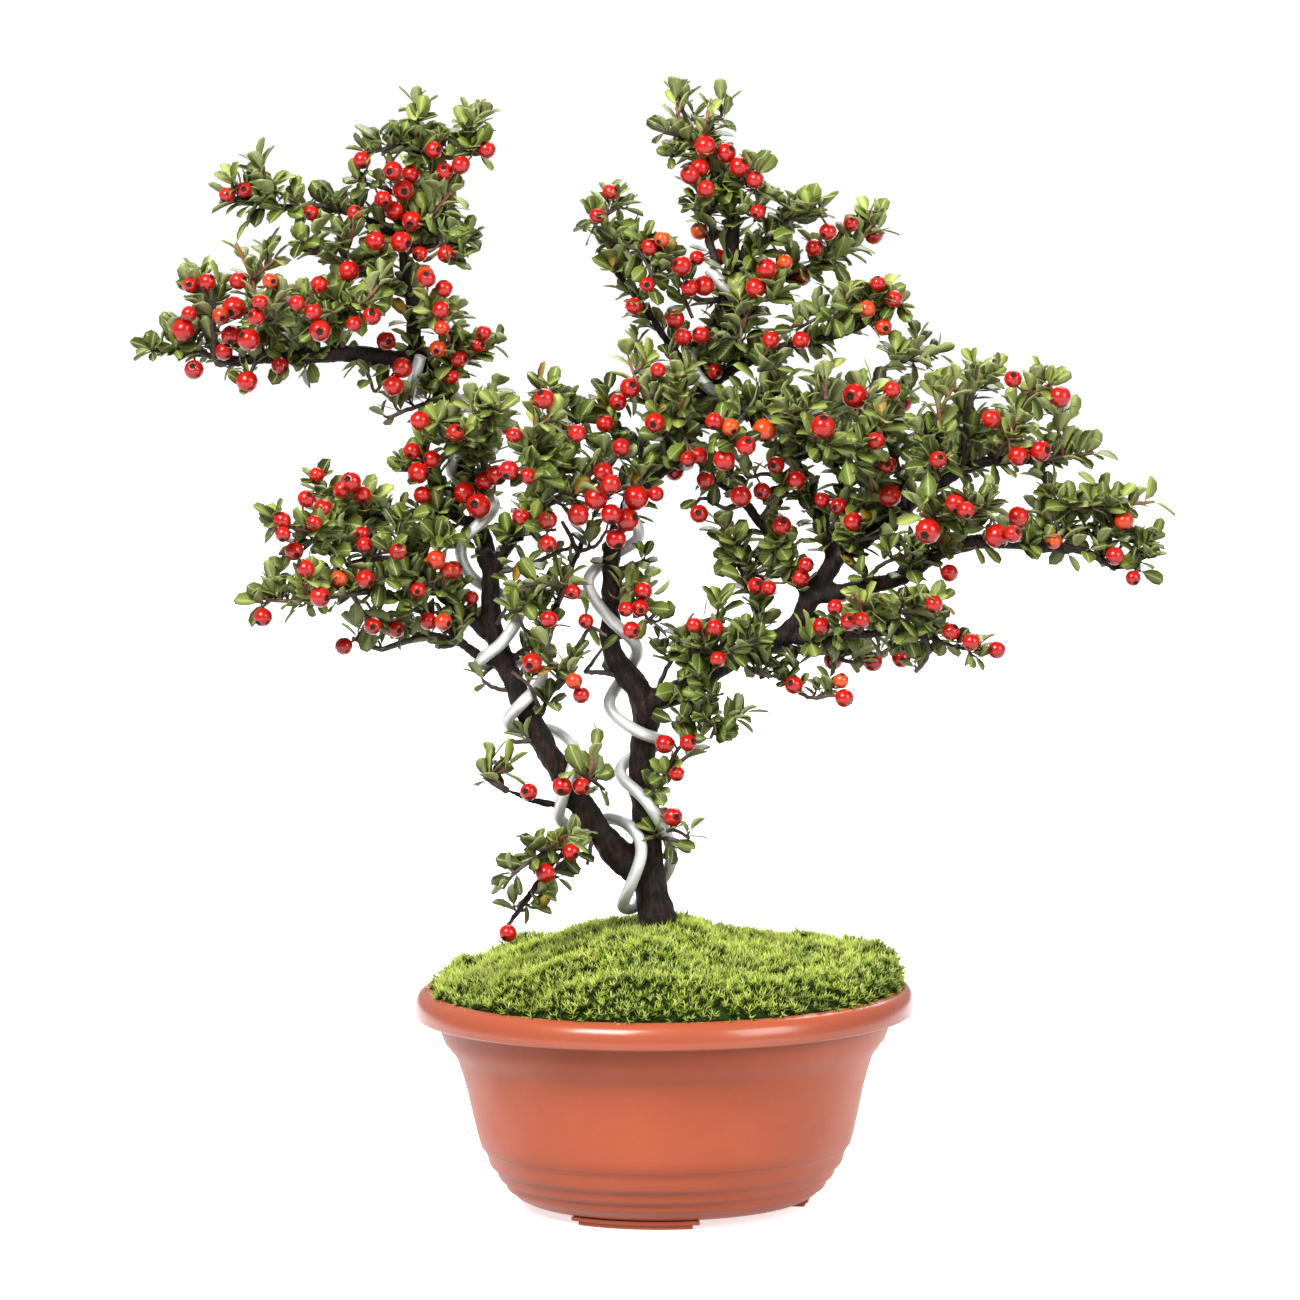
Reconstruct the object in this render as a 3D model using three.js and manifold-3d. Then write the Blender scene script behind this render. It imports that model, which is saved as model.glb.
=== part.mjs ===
// Cotoneaster bonsai in a round plastic pot. Millimetres, +Z up.
// Origin: on the pot's axis, at the level that its three feet stand on. The tree is seen from -Y.
import * as THREE from 'three';
import { mergeVertices } from 'three/addons/utils/BufferGeometryUtils.js';
import Module from 'manifold-3d';

const wasm = await Module();
wasm.setup();

// Driving dimensions
const SEED = 41;
const GAP = 0.3; // air between touching pieces
const RIM_RADIUS = 95;
const LIP_RADIUS = 87.8; // inner edge of the rim
const LIP_HEIGHT = 84;
const WALL = 2.2;
const FOOT_HEIGHT = 2.8;
const FOOT_ANGLES = [-14, 106, -134]; // from the front towards +X, degrees
const FOOT_HALF_ANGLE = 26;
const FOOT_INNER_RADIUS = 43;
const FOOT_OUTER_RADIUS = 54;
const DRAIN_HOLE_RADIUS = 4;
const DRAIN_HOLES = 4;
const DRAIN_CIRCLE_RADIUS = 26;
const SOIL_TOP = 80.2;
const MOSS_TOP = 108.5;
const MOSS_EDGE_TOP = 90;
const MOSS_LUMPS = 1.1;
const MOSS_SLOPE = 0.012; // it rises towards +X
const TRUNK_BOTTOM = 62;
const ROOT_FLARE = 0.8;
const WIRE_RADIUS = 2.4;
const BERRY_RADIUS = 3.9;
const LEAF_LENGTH = 10.6;
const LEAF_WIDTH = 6.6;
const LEAF_THICKNESS = 0.7;
const LEAF_SPACING = 20; // along a shoot
const SHOOT_RADIUS = 0.9;
const STALK_RADIUS = 0.8;
const CLEAR = 0.45; // least air between a leaf and what it doesn't grow from
const SLIVER = 0.003; // corners closer than this are one
const WIRE_CLEAR = 0.8; // air between the wire and the bark
const STALK_CLEAR = 0.9; // the same for berries and their stalks

// Front drawing of the tree: u to the right and v down, in units of 0.378 mm at the trunk, as seen
// by an eye in front of the tree and a little above it. A third number is the depth in millimetres,
// positive behind the trunk. Depths are drawn shallow: what lies past the knee is spread out.
const DRAWING = {
  focal: 7222, centre: 650, eyeDistance: 2730, lookDown: 6, roll: 0.6, aimX: -4.1, aimZ: 212.5,
  knee: 14, spread: 1.7,
};

// Wood: each limb is a list of drawing points with the radius at each, and its number of sides
const LIMBS = {
  leader: { radii: [8.2, 7.8, 6.4, 5.7, 5.2, 5.3, 4.8, 5.4, 4.2, 3.7, 3.3, 3.2, 3.1, 3.1, 3, 2.9, 2.8,
    2.7, 2.6, 2.2], sides: 7,
    points: [[658, 940, 0], [656.5, 920, 0], [651.5, 893, 0], [649, 866, 0], [646.5, 824, 0],
      [641.5, 777, 1], [643.5, 740, 2], [646, 705, 0], [613, 653, -2], [611, 605, -4],
      [612, 560, -6], [617, 530, -5], [645, 482, -2], [676, 455, 4], [692, 418, 6],
      [707, 378, 8], [721, 314, 4], [730, 270, 1], [733, 232, -1], [734, 214, -2]] },
  leftTrunk: { radii: [5.4, 6, 5.2, 4.9, 4.7, 4.6, 4.4, 4.2, 4, 3.9, 3.3, 3.1, 3, 2.9, 2.8, 2.7], sides: 7,
    points: [[648, 880, 0], [626, 861, -1], [599, 830, -4], [577, 797, -7], [557, 766, -8],
      [540, 738, -8], [523, 703, -8], [508, 670, -7], [493, 630, -6], [490, 598, -5], [490, 565, -4],
      [476, 510, -1], [466, 470, 1], [455, 430, 2], [436, 386, 1], [416, 352, 0]] },
  leftStub: { radii: [3.4, 3.2], sides: 5, points: [[490, 572, -4], [482, 548, -8]] },
  column: { radii: [2.7, 2.4, 2.1, 1.9, 1.6], sides: 5,
    points: [[416, 352, 0], [411, 300, 2], [402, 240, 3], [406, 195, 2], [412, 165, 2]] },
  padLimb: { radii: [3.6, 3.8, 3.4, 2.9, 2.5, 2, 1.5], sides: 5,
    points: [[420, 360, 0], [393, 359, -2], [344, 353, -6], [305, 356, -8], [262, 358, -10],
      [228, 361, -9], [212, 357, -8]] },
  columnArm: { radii: [1.9, 1.5, 1.3], sides: 5, points: [[402, 240, 3], [372, 222, -2], [348, 213, -4]] },
  rightLimb: { radii: [4.8, 4.6, 4.5, 4.4, 4.2, 4.1, 4], sides: 6,
    points: [[646, 703, 0], [682, 690, -3], [702, 677, -6], [738, 655, -10], [770, 642, -12],
      [789, 633, -12], [803, 614, -12]] },
  rightUp: { radii: [4, 3.8, 3.6, 3.2, 2.6, 2.3, 2, 1.5], sides: 6,
    points: [[803, 614, -12], [809, 596, -12], [824, 578, -10], [834, 558, -8], [824, 532, -6],
      [806, 490, -2], [797, 466, 0], [778, 444, 2]] },
  rightUpBack: { radii: [2.6, 2, 1.6], sides: 5, points: [[834, 558, -8], [846, 500, 4], [826, 446, 12]] },
  canopyLimb: { radii: [3.4, 3.2, 3, 2.6, 2.4, 2, 1.4], sides: 5,
    points: [[834, 560, -8], [880, 528, -10], [907, 505, -12], [935, 487, -13], [964, 469, -12],
      [994, 461, -12], [1030, 462, -12]] },
  rightDiagonal: { radii: [2.4, 2.1, 1.8, 1.4], sides: 5,
    points: [[809, 598, -12], [770, 537, -2], [742, 500, 3], [702, 471, 6]] },
  rightArm: { radii: [3.8, 3.4, 3.2, 3, 2.8, 2.3, 1.6, 1.2], sides: 5,
    points: [[812, 596, -12], [863, 588, -14], [905, 575, -16], [942, 551, -18], [985, 542, -18],
      [1048, 547, -16], [1085, 551, -15], [1116, 569, -14]] },
  rightArmUpper: { radii: [2.2, 1.8, 1.4], sides: 5,
    points: [[1000, 542, -17], [1048, 530, -10], [1092, 532, -6]] },
  rightLow: { radii: [2.4, 2, 1.7, 1.4, 1.1, 0.9], sides: 5,
    points: [[789, 638, -12], [827, 641, -18], [859, 634, -20], [920, 634, -24], [950, 645, -25],
      [984, 650, -26]] },
  rightVertical: { radii: [1.9, 1.7, 1.6, 1.4], sides: 5,
    points: [[756, 650, -11], [755, 600, 4], [736, 556, 7], [722, 520, 8]] },
  leaderRight: { radii: [2.2, 1.8, 1.5, 1.2], sides: 5,
    points: [[690, 424, 6], [725, 412, 0], [757, 395, -6], [780, 394, -8]] },
  shelfLimb: { radii: [2.8, 2.4, 2, 1.9, 1.7, 1.4], sides: 5,
    points: [[707, 386, 8], [736, 367, 2], [790, 346, -6], [829, 337, -8], [866, 322, -9],
      [893, 307, -9]] },
  upperRight: { radii: [2.4, 2.3, 2, 1.6], sides: 5,
    points: [[729, 273, 1], [752, 252, -3], [772, 236, -6], [790, 219, -8]] },
  greyTwig: { radii: [1.9, 1.5, 1.3, 1.1], sides: 4,
    points: [[704, 385, 8], [672, 348, 4], [644, 307, 0], [616, 272, -4]] },
  clumpLimb: { radii: [2.9, 2.6, 2.2, 1.8, 1.5, 1.2], sides: 5,
    points: [[490, 575, -4], [512, 540, -8], [540, 506, -12], [558, 474, -12], [564, 440, -12],
      [551, 404, -12]] },
  greyFork: { radii: [1.6, 1.4, 1.3, 1.2, 1], sides: 4,
    points: [[508, 662, -7], [540, 638, -13], [558, 602, -14], [578, 552, -12], [594, 516, -9]] },
  leftMid: { radii: [2.8, 2.4, 1.9, 1.4], sides: 5,
    points: [[494, 640, -6], [468, 616, -9], [440, 594, -12], [424, 562, -14]] },
  leftUpper: { radii: [2.4, 2, 1.8, 1.4], sides: 5,
    points: [[482, 530, -3], [450, 514, -8], [422, 511, -12], [391, 517, -14]] },
  leftUpperTwig: { radii: [1.5, 1.3, 1.1], sides: 4,
    points: [[475, 506, -1], [438, 482, -7], [424, 462, -9]] },
  leftLong: { radii: [2.4, 2, 1.6, 1.3, 1], sides: 5,
    points: [[502, 662, -7], [477, 655, -10], [450, 632, -16], [419, 611, -20], [386, 590, -24]] },
  trunkLeftTwig: { radii: [1.7, 1.3, 1], sides: 4,
    points: [[578, 806, -7], [540, 802, -14], [506, 790, -18]] },
  trunkLowTwig: { radii: [1.5, 1.2, 1, 0.8], sides: 4,
    points: [[596, 836, -4], [572, 846, -12], [543, 875, -18], [509, 923, -22]] },
};

// Wire: one soft aluminium wire, from its end by the upper left limb down the left trunk, behind the
// foot of the tree and up the leader
const WIRE = [
  [420, 357, -5], [414, 378, -3], [409, 398, 3], [432, 384, 8], [452, 391, 6], [463, 410, 1],
  [472, 426, -2], [460, 446, -6], [453, 470, -1], [476, 489, 5], [496, 506, -5], [480, 524, -10],
  [466, 535, -8], [460, 552, -5], [471, 577, -2], [493, 590, 3], [513, 599, -2], [520, 614, -7],
  [502, 643, -14], [483, 663, -6], [508, 662, 2], [538, 665, -3], [543, 680, -10], [524, 701, -16],
  [507, 722, -9], [519, 731, -3], [545, 727, 1], [567, 737, -4], [576, 752, -10], [569, 778, -14],
  [562, 802, -12], [560, 820, -5], [578, 828, 4], [602, 819, 5], [623, 821, -3], [638, 835, -8.5],
  [643, 851, -9.5], [637, 869, -10], [629, 890, -8], [622, 907, 1], [634, 908, 9], [654, 890, 10],
  [672, 853, 0], [645, 799, -8.6], [619, 772, 1], [640, 752, 10.5], [664, 742, 2], [640, 733, -6],
  [608, 706, 0], [625, 675, 8], [638, 648, -2], [610, 619, -10], [587, 582, -5], [610, 557, 1],
  [640, 537, -5], [628, 506, -12], [634, 476, -6], [662, 460, 10], [689, 466, 4], [680, 440, -2],
  [672, 423, 5], [697, 408, 13.5], [716, 398, 7.5], [700, 379, 1.5], [687, 358, 7], [713, 343, 12],
  [738, 322, 5], [736, 301, 0], [724, 285, -4.5], [709, 270, -3.5],
];
const WIRE_STEPS = 88;
const WIRE_SIDES = 6;

// Leafy sprays: each is a list of shoots. The first starts on the wood, and every other one starts
// at a point of an earlier shoot of the same spray.
const SPRAYS = {
  column_head: [
    [[412, 165, 2], [427, 154, -2], [462, 146, -7], [471, 124, -8], [470, 102, -8]],
    [[462, 146, -7], [497, 160, -15]], [[471, 124, -8], [488, 108, -4]],
    [[427, 154, -2], [414, 132, -5], [416, 108, -5]],
    [[427, 154, -2], [395, 146, -8], [372, 152, -14], [348, 144, -16]]],
  column_side: [
    [[403, 228, 3], [432, 215, -8], [452, 192, -13], [468, 182, -14]],
    [[432, 215, -8], [446, 245, -10], [474, 238, -10]], [[446, 245, -10], [454, 276, -8]],
    [[432, 215, -8], [425, 205, 16], [416, 172, 28]], [[425, 205, 16], [436, 240, 30]]],
  top_left: [
    [[348, 213, -4], [324, 206, -6], [298, 208, -7], [266, 204, -9], [240, 201, -10], [214, 205, -12]],
    [[266, 204, -9], [264, 164, -7]], [[298, 208, -7], [291, 178, -4]], [[240, 201, -10], [232, 166, -13]]],
  left_twig: [
    [[409, 290, 2], [372, 272, -5], [340, 264, -8], [316, 250, -11], [318, 218, -10]],
    [[316, 250, -11], [290, 234, -16]], [[340, 264, -8], [352, 236, -18], [352, 208, -20]],
    [[372, 272, -5], [382, 250, -16], [376, 226, -20]]],
  pad_tip: [
    [[212, 357, -8], [184, 346, -10], [160, 352, -12], [137, 342, -14]], [[184, 346, -10], [156, 328, -16]],
    [[184, 346, -10], [206, 320, -6], [210, 298, -4], [188, 262, -4]], [[210, 298, -4], [180, 280, 2]],
    [[210, 298, -4], [226, 272, -10]]],
  pad_front: [
    [[262, 358, -10], [256, 318, -12], [252, 280, -11], [228, 228, -11]],
    [[252, 280, -11], [286, 250, -18]], [[256, 318, -12], [276, 318, -28], [272, 286, -32]]],
  pad_centre: [
    [[344, 353, -6], [334, 316, -14], [310, 288, -20]], [[334, 316, -14], [366, 300, -26], [390, 270, -26]],
    [[334, 316, -14], [316, 332, -32]], [[334, 316, -14], [346, 280, 0], [352, 262, 8]]],
  pad_back: [
    [[300, 356, -8], [298, 336, 14], [318, 312, 28], [354, 300, 34]], [[298, 336, 14], [262, 318, 30]],
    [[318, 312, 28], [296, 286, 36]], [[298, 336, 14], [244, 344, 14]]],
  fork_right: [
    [[432, 380, 1], [458, 366, -6], [490, 340, -9]], [[458, 366, -6], [446, 332, -12], [434, 300, -12]],
    [[446, 332, -12], [420, 284, -22]], [[446, 332, -12], [448, 310, 14]]],
  left_cluster: [
    [[424, 462, -9], [408, 470, -14], [386, 470, -16]], [[424, 462, -9], [428, 432, -12], [408, 416, -12]],
    [[428, 432, -12], [448, 416, -22]]],
  left_tip: [
    [[391, 517, -14], [368, 521, -14], [340, 517, -12], [322, 494, -12], [316, 462, -14]],
    [[368, 521, -14], [362, 492, -20], [366, 468, -22]],
    [[340, 517, -12], [322, 532, -26], [294, 528, -30], [260, 512, -30]],
    [[322, 532, -26], [290, 562, -24]], [[368, 521, -14], [352, 520, 10], [316, 520, 18]]],
  left_long: [
    [[386, 590, -24], [352, 594, -26], [308, 600, -28], [270, 600, -28], [246, 592, -28]],
    [[270, 600, -28], [276, 562, -22]], [[308, 600, -28], [300, 576, -38]],
    [[352, 594, -26], [366, 622, -16], [352, 642, -4]], [[366, 622, -16], [398, 622, -10], [418, 642, -4]]],
  clump_left: [
    [[467, 474, 1], [478, 452, -12], [485, 424, -18], [492, 392, -18]], [[478, 452, -12], [452, 436, -24]],
    [[485, 424, -18], [466, 402, -24]], [[485, 424, -18], [508, 404, -26]],
    [[478, 452, -12], [484, 440, 14], [498, 414, 24]]],
  clump_front: [
    [[558, 474, -12], [544, 456, -24], [536, 428, -30], [532, 400, -28]],
    [[544, 456, -24], [518, 448, -34]], [[536, 428, -30], [558, 412, -36]],
    [[544, 456, -24], [524, 482, -38]]],
  clump_top: [
    [[551, 404, -12], [541, 384, -14], [526, 366, -14]], [[541, 384, -14], [574, 404, -8], [600, 416, -8]],
    [[574, 404, -8], [590, 444, -16]]],
  crown: [
    [[734, 214, -2], [726, 190, -3], [704, 156, -3], [684, 136, -5], [678, 112, -5], [672, 90, -5]],
    [[684, 136, -5], [648, 130, -11]], [[704, 156, -3], [658, 154, -2]],
    [[704, 156, -3], [706, 122, -12], [716, 92, -10]], [[706, 122, -12], [732, 112, -10]],
    [[726, 190, -3], [752, 178, -10], [778, 170, -12]], [[752, 178, -10], [758, 206, -10], [748, 238, -12]],
    [[726, 190, -3], [700, 202, -12], [682, 222, -10]], [[726, 190, -3], [722, 176, 18], [700, 148, 24]]],
  grey_tip: [
    [[616, 272, -4], [608, 240, -6], [606, 214, -6], [600, 182, -6]], [[606, 214, -6], [582, 222, -12]],
    [[606, 214, -6], [628, 202, -2]], [[608, 240, -6], [640, 248, -10], [652, 228, -14]],
    [[640, 248, -10], [678, 246, -12]], [[640, 248, -10], [652, 280, -16], [650, 304, -14]]],
  leader_front: [
    [[688, 428, 5], [678, 422, -14], [683, 396, -20], [677, 362, -20]],
    [[678, 422, -14], [650, 404, -16], [634, 374, -12], [624, 342, -10]],
    [[634, 374, -12], [658, 348, -14]], [[678, 422, -14], [652, 448, -18]],
    [[678, 422, -14], [692, 454, -22]]],
  leader_right: [
    [[716, 346, 6], [738, 338, -4], [749, 312, -8], [762, 300, -10], [798, 288, -12]],
    [[749, 312, -8], [732, 286, -14]], [[738, 338, -4], [748, 362, -8]], [[738, 338, -4], [708, 336, -12]]],
  upper_right: [
    [[790, 219, -8], [808, 216, -11], [836, 206, -13]], [[790, 219, -8], [788, 198, -6]],
    [[808, 216, -11], [816, 192, -15]], [[790, 219, -8], [796, 242, -16]]],
  upper_right_tip: [
    [[726, 295, 3], [780, 279, 8], [822, 260, 6], [860, 239, 6], [873, 226, 6], [883, 204, 6]],
    [[873, 226, 6], [862, 198, 0]], [[822, 260, 6], [846, 262, -4]], [[822, 260, 6], [836, 232, 16]]],
  shelf: [
    [[866, 322, -9], [872, 308, -14], [884, 294, -14], [874, 272, -14]],
    [[872, 308, -14], [846, 308, -18], [814, 320, -16], [784, 338, -20]],
    [[846, 308, -18], [836, 284, -16]], [[884, 294, -14], [910, 314, -14]]],
  canopy_left: [
    [[757, 395, -6], [746, 412, -18], [722, 436, -24], [698, 440, -24]], [[757, 395, -6], [758, 370, -14]],
    [[722, 436, -24], [742, 450, -32]], [[758, 370, -14], [790, 366, -18]]],
  canopy_front: [
    [[797, 466, 0], [800, 440, -16], [792, 414, -24], [776, 396, -26]], [[792, 414, -24], [826, 400, -28]],
    [[826, 400, -28], [828, 372, -24], [846, 346, -22]], [[800, 440, -16], [834, 438, -34]]],
  canopy_mid: [
    [[880, 528, -10], [872, 484, -18], [868, 440, -20], [866, 404, -18], [882, 370, -16]],
    [[866, 404, -18], [850, 370, -12]], [[868, 440, -20], [894, 412, -30]],
    [[882, 370, -16], [912, 350, -14]], [[868, 440, -20], [838, 464, -32]]],
  canopy_shoot: [
    [[935, 487, -13], [936, 446, -20], [939, 412, -22], [928, 374, -22]],
    [[939, 412, -22], [964, 368, -22]], [[936, 446, -20], [912, 426, -28]],
    [[936, 446, -20], [926, 476, -38]]],
  canopy_right: [
    [[994, 461, -12], [974, 424, -6], [972, 392, -4], [980, 354, -4]], [[972, 392, -4], [1006, 358, -4]],
    [[994, 461, -12], [1012, 428, -20], [1028, 396, -20], [1048, 360, -18]],
    [[1028, 396, -20], [1068, 376, -24]]],
  canopy_tip: [
    [[1030, 462, -12], [1064, 457, -13], [1112, 450, -13]],
    [[1064, 457, -13], [1060, 424, -10], [1088, 418, -8]], [[1060, 424, -10], [1048, 404, 6]]],
  arm_tip: [
    [[1092, 532, -6], [1118, 536, -6], [1136, 542, -2], [1164, 538, 2]],
    [[1118, 536, -6], [1110, 508, -12], [1134, 504, -8], [1170, 500, -4]],
    [[1110, 508, -12], [1090, 472, -12]], [[1110, 508, -12], [1066, 506, -16], [1040, 486, -16]],
    [[1136, 542, -2], [1138, 566, -10], [1150, 590, -12]]],
  arm_front: [
    [[942, 551, -18], [934, 520, -30], [908, 510, -36]],
    [[934, 520, -30], [978, 510, -34], [992, 492, -32]], [[978, 510, -34], [1006, 526, -32]]],
  canopy_back: [
    [[826, 446, 12], [812, 424, 22], [784, 406, 28], [752, 420, 30]],
    [[812, 424, 22], [848, 402, 30], [884, 396, 34], [920, 412, 38]], [[848, 402, 30], [862, 438, 44]]],
  canopy_far: [
    [[964, 469, -12], [958, 452, 10], [944, 422, 22]], [[958, 452, 10], [996, 436, 20], [1030, 424, 20]],
    [[958, 452, 10], [930, 464, 30]], [[996, 436, 20], [1010, 472, 26]]],
  upright_twig: [
    [[736, 556, 7], [752, 574, -2], [778, 578, -6]], [[752, 574, -2], [732, 584, -14]],
    [[736, 556, 7], [728, 534, -4], [706, 506, -2]]],
  right_low: [
    [[859, 634, -20], [866, 612, -26], [844, 584, -32]],
    [[866, 612, -26], [900, 612, -28], [950, 594, -28]], [[900, 612, -28], [938, 620, -18]]],
  limb_top: [
    [[702, 677, -6], [692, 652, -14], [702, 622, -14]], [[702, 622, -14], [728, 612, -14]],
    [[692, 652, -14], [728, 650, -22], [770, 634, -26]], [[692, 652, -14], [690, 640, 10]]],
  limb_under: [
    [[682, 690, -3], [690, 712, -12], [718, 722, -16], [748, 710, -18]], [[690, 712, -12], [666, 730, -14]],
    [[718, 722, -16], [708, 744, -16]]],
  leader_twig: [
    [[613, 600, -5], [636, 588, -12], [654, 564, -12]], [[636, 588, -12], [670, 606, -14]],
    [[636, 588, -12], [648, 620, -16], [666, 638, -16]]],
  trunk_left: [
    [[506, 790, -18], [490, 776, -20], [474, 768, -21]], [[490, 776, -20], [492, 742, -20]],
    [[490, 776, -20], [520, 762, -22]]],
  trunk_middle: [
    [[577, 797, -7], [590, 778, -18], [594, 752, -19], [610, 728, -18]], [[590, 778, -18], [562, 764, -24]],
    [[590, 778, -18], [610, 794, -18]]],
  trunk_low: [
    [[572, 846, -12], [548, 850, -20], [520, 850, -24]],
    [[548, 850, -20], [512, 876, -26], [496, 902, -24]], [[548, 850, -20], [574, 828, -26]]],
  grey_fork: [
    [[558, 602, -14], [566, 586, -20], [572, 560, -22]],
    [[566, 586, -20], [592, 604, -22]], [[566, 586, -20], [536, 584, -22], [504, 592, -20]]],
};

// Berry bunches: the first point of each is where its stalk leaves the wood, and a berry hangs at
// each of the others
const BUNCHES = {
  column: [[403, 214, 3], [401, 242, -9], [403, 190, -15], [434, 150, -14], [375, 241, -12],
    [362, 170, -22]],
  pad_left: [[236, 360, -9], [247, 386, -14], [249, 340, -30], [234, 308, -28], [228, 334, 10]],
  pad_right: [[372, 356, -4], [392, 345, -20], [402, 370, -14], [378, 388, -14], [356, 338, -24]],
  left_tip: [[400, 515, -13], [351, 482, -28], [323, 509, -22], [284, 520, -36], [398, 560, -34]],
  left_low: [[419, 611, -20], [428, 625, -26], [320, 586, -38], [263, 617, -32]],
  left_inner: [[440, 594, -12], [456, 570, -20], [432, 500, -22], [418, 478, -26], [420, 530, 4]],
  clump: [[545, 498, -12], [521, 517, -22], [479, 506, -26], [464, 493, -20], [530, 462, -10],
    [553, 399, -28], [515, 430, -20], [560, 470, 8]],
  leader_mid: [[615, 535, -5], [616, 539, -18], [627, 522, -20], [596, 498, -20], [655, 427, -30],
    [612, 478, 8]],
  crown: [[732, 236, -1], [714, 226, -16], [755, 184, -20], [739, 167, -20], [700, 172, -18],
    [708, 192, -18]],
  leader_top: [[721, 318, 4], [699, 322, -14], [682, 318, -16], [708, 302, -22], [690, 272, -22],
    [774, 272, -22]],
  shelf: [[829, 337, -8], [822, 352, -20], [850, 345, -22], [883, 336, -22], [801, 346, -24]],
  canopy: [[806, 490, -2], [796, 480, -14], [823, 427, -42], [855, 400, -34], [892, 390, -36],
    [888, 450, -38], [800, 456, 30]],
  arm: [[972, 545, -18], [997, 540, -34], [890, 500, -38], [910, 456, -42], [1018, 456, -28],
    [1056, 397, -28], [970, 480, 6]],
  right_low: [[920, 634, -24], [934, 602, -34], [951, 632, -34], [849, 622, -34], [801, 578, -24]],
};

const rad = THREE.MathUtils.degToRad;

// Seeded random draw in the range 0 to 1
function randomSource(seed) {
  let state = seed;
  return () => {
    state = (state + 0x6d2b79f5) | 0;
    let t = Math.imul(state ^ (state >>> 15), 1 | state);
    t = (t + Math.imul(t ^ (t >>> 7), 61 | t)) ^ t;
    return ((t ^ (t >>> 14)) >>> 0) / 4294967296;
  };
}

// A drawing point at a depth, as a point in space
function place([u, v, drawnDepth]) {
  const { focal, centre, eyeDistance, lookDown, roll, aimX, aimZ, knee, spread } = DRAWING;
  const past = Math.max(Math.abs(drawnDepth) - knee, 0);
  const depth = drawnDepth + Math.sign(drawnDepth) * past * (spread - 1);
  const forward = new THREE.Vector3(0, Math.cos(rad(lookDown)), -Math.sin(rad(lookDown)));
  const up = new THREE.Vector3(0, Math.sin(rad(lookDown)), Math.cos(rad(lookDown)));
  const eye = new THREE.Vector3(aimX, 0, aimZ).addScaledVector(forward, -eyeDistance);
  const a = u - centre;
  const b = centre - v;
  const right = a * Math.cos(rad(roll)) + b * Math.sin(rad(roll));
  const rise = b * Math.cos(rad(roll)) - a * Math.sin(rad(roll));
  const ray = forward.clone().addScaledVector(up, rise / focal);
  ray.x += right / focal;
  return eye.addScaledVector(ray, (depth - eye.y) / ray.y);
}

// Geometry to solid and back
function solid(geometry) {
  const plain = geometry.clone();
  plain.deleteAttribute('normal');
  plain.deleteAttribute('uv');
  const merged = mergeVertices(plain, 1e-4);
  const index = merged.index ? merged.index.array : Uint32Array.from(merged.attributes.position.array.keys());
  return new wasm.Manifold(new wasm.Mesh({
    numProp: 3,
    vertProperties: Float32Array.from(merged.attributes.position.array),
    triVerts: Uint32Array.from(index),
  }));
}

// The largest connected body of a solid, as geometry
function geometryOf(body) {
  const mesh = body.getMesh();
  const count = mesh.vertProperties.length / 3;
  const parent = Int32Array.from({ length: count }, (_, i) => i);
  const find = (i) => {
    while (parent[i] !== i) {
      parent[i] = parent[parent[i]];
      i = parent[i];
    }
    return i;
  };
  const triangles = mesh.triVerts;
  for (let i = 0; i < triangles.length; i += 3) {
    parent[find(triangles[i + 1])] = find(triangles[i]);
    parent[find(triangles[i + 2])] = find(triangles[i]);
  }
  const sizes = new Map();
  for (let i = 0; i < triangles.length; i += 3) {
    const root = find(triangles[i]);
    sizes.set(root, (sizes.get(root) ?? 0) + 1);
  }
  const largest = [...sizes].sort((a, b) => b[1] - a[1])[0][0];
  const kept = [];
  for (let i = 0; i < triangles.length; i += 3) {
    if (find(triangles[i]) === largest) kept.push(triangles[i], triangles[i + 1], triangles[i + 2]);
  }
  const geometry = new THREE.BufferGeometry();
  geometry.setAttribute('position', new THREE.BufferAttribute(Float32Array.from(mesh.vertProperties), 3));
  geometry.setIndex(kept);
  return withoutSlivers(geometry);
}

// Corners closer together than the tolerance become one
function withoutSlivers(geometry) {
  const merged = mergeVertices(geometry, SLIVER);
  const index = merged.index.array;
  const kept = [];
  for (let i = 0; i < index.length; i += 3) {
    const [a, b, c] = index.slice(i, i + 3);
    if (a !== b && b !== c && c !== a) kept.push(a, b, c);
  }
  merged.setIndex(kept);
  return merged;
}

function fuse(solids) {
  return solids.reduce((whole, next) => whole.add(next));
}

// Tapered round stem through points, closed at both ends
function stem(points, radii, sides, extra = 0) {
  const positions = [];
  const index = [];
  let normal = null;
  points.forEach((point, i) => {
    const before = points[Math.max(i - 1, 0)];
    const after = points[Math.min(i + 1, points.length - 1)];
    const along = after.clone().sub(before).normalize();
    if (!normal) normal = new THREE.Vector3(0.31, 0.9, 0.24).cross(along).normalize();
    normal.addScaledVector(along, -normal.dot(along)).normalize();
    const side = along.clone().cross(normal);
    for (let k = 0; k < sides; k += 1) {
      const angle = (k / sides) * Math.PI * 2;
      const radius = radii[i] + extra;
      const corner = point.clone().addScaledVector(normal, radius * Math.cos(angle));
      corner.addScaledVector(side, radius * Math.sin(angle));
      positions.push(corner.x, corner.y, corner.z);
    }
  });
  for (let i = 0; i + 1 < points.length; i += 1) {
    for (let k = 0; k < sides; k += 1) {
      const a = i * sides + k;
      const b = i * sides + ((k + 1) % sides);
      index.push(a, b, b + sides, a, b + sides, a + sides);
    }
  }
  const last = (points.length - 1) * sides;
  for (let k = 1; k + 1 < sides; k += 1) {
    index.push(0, k + 1, k);
    index.push(last, last + k, last + k + 1);
  }
  const geometry = new THREE.BufferGeometry();
  geometry.setAttribute('position', new THREE.Float32BufferAttribute(positions, 3));
  geometry.setIndex(index);
  return geometry;
}

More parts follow.
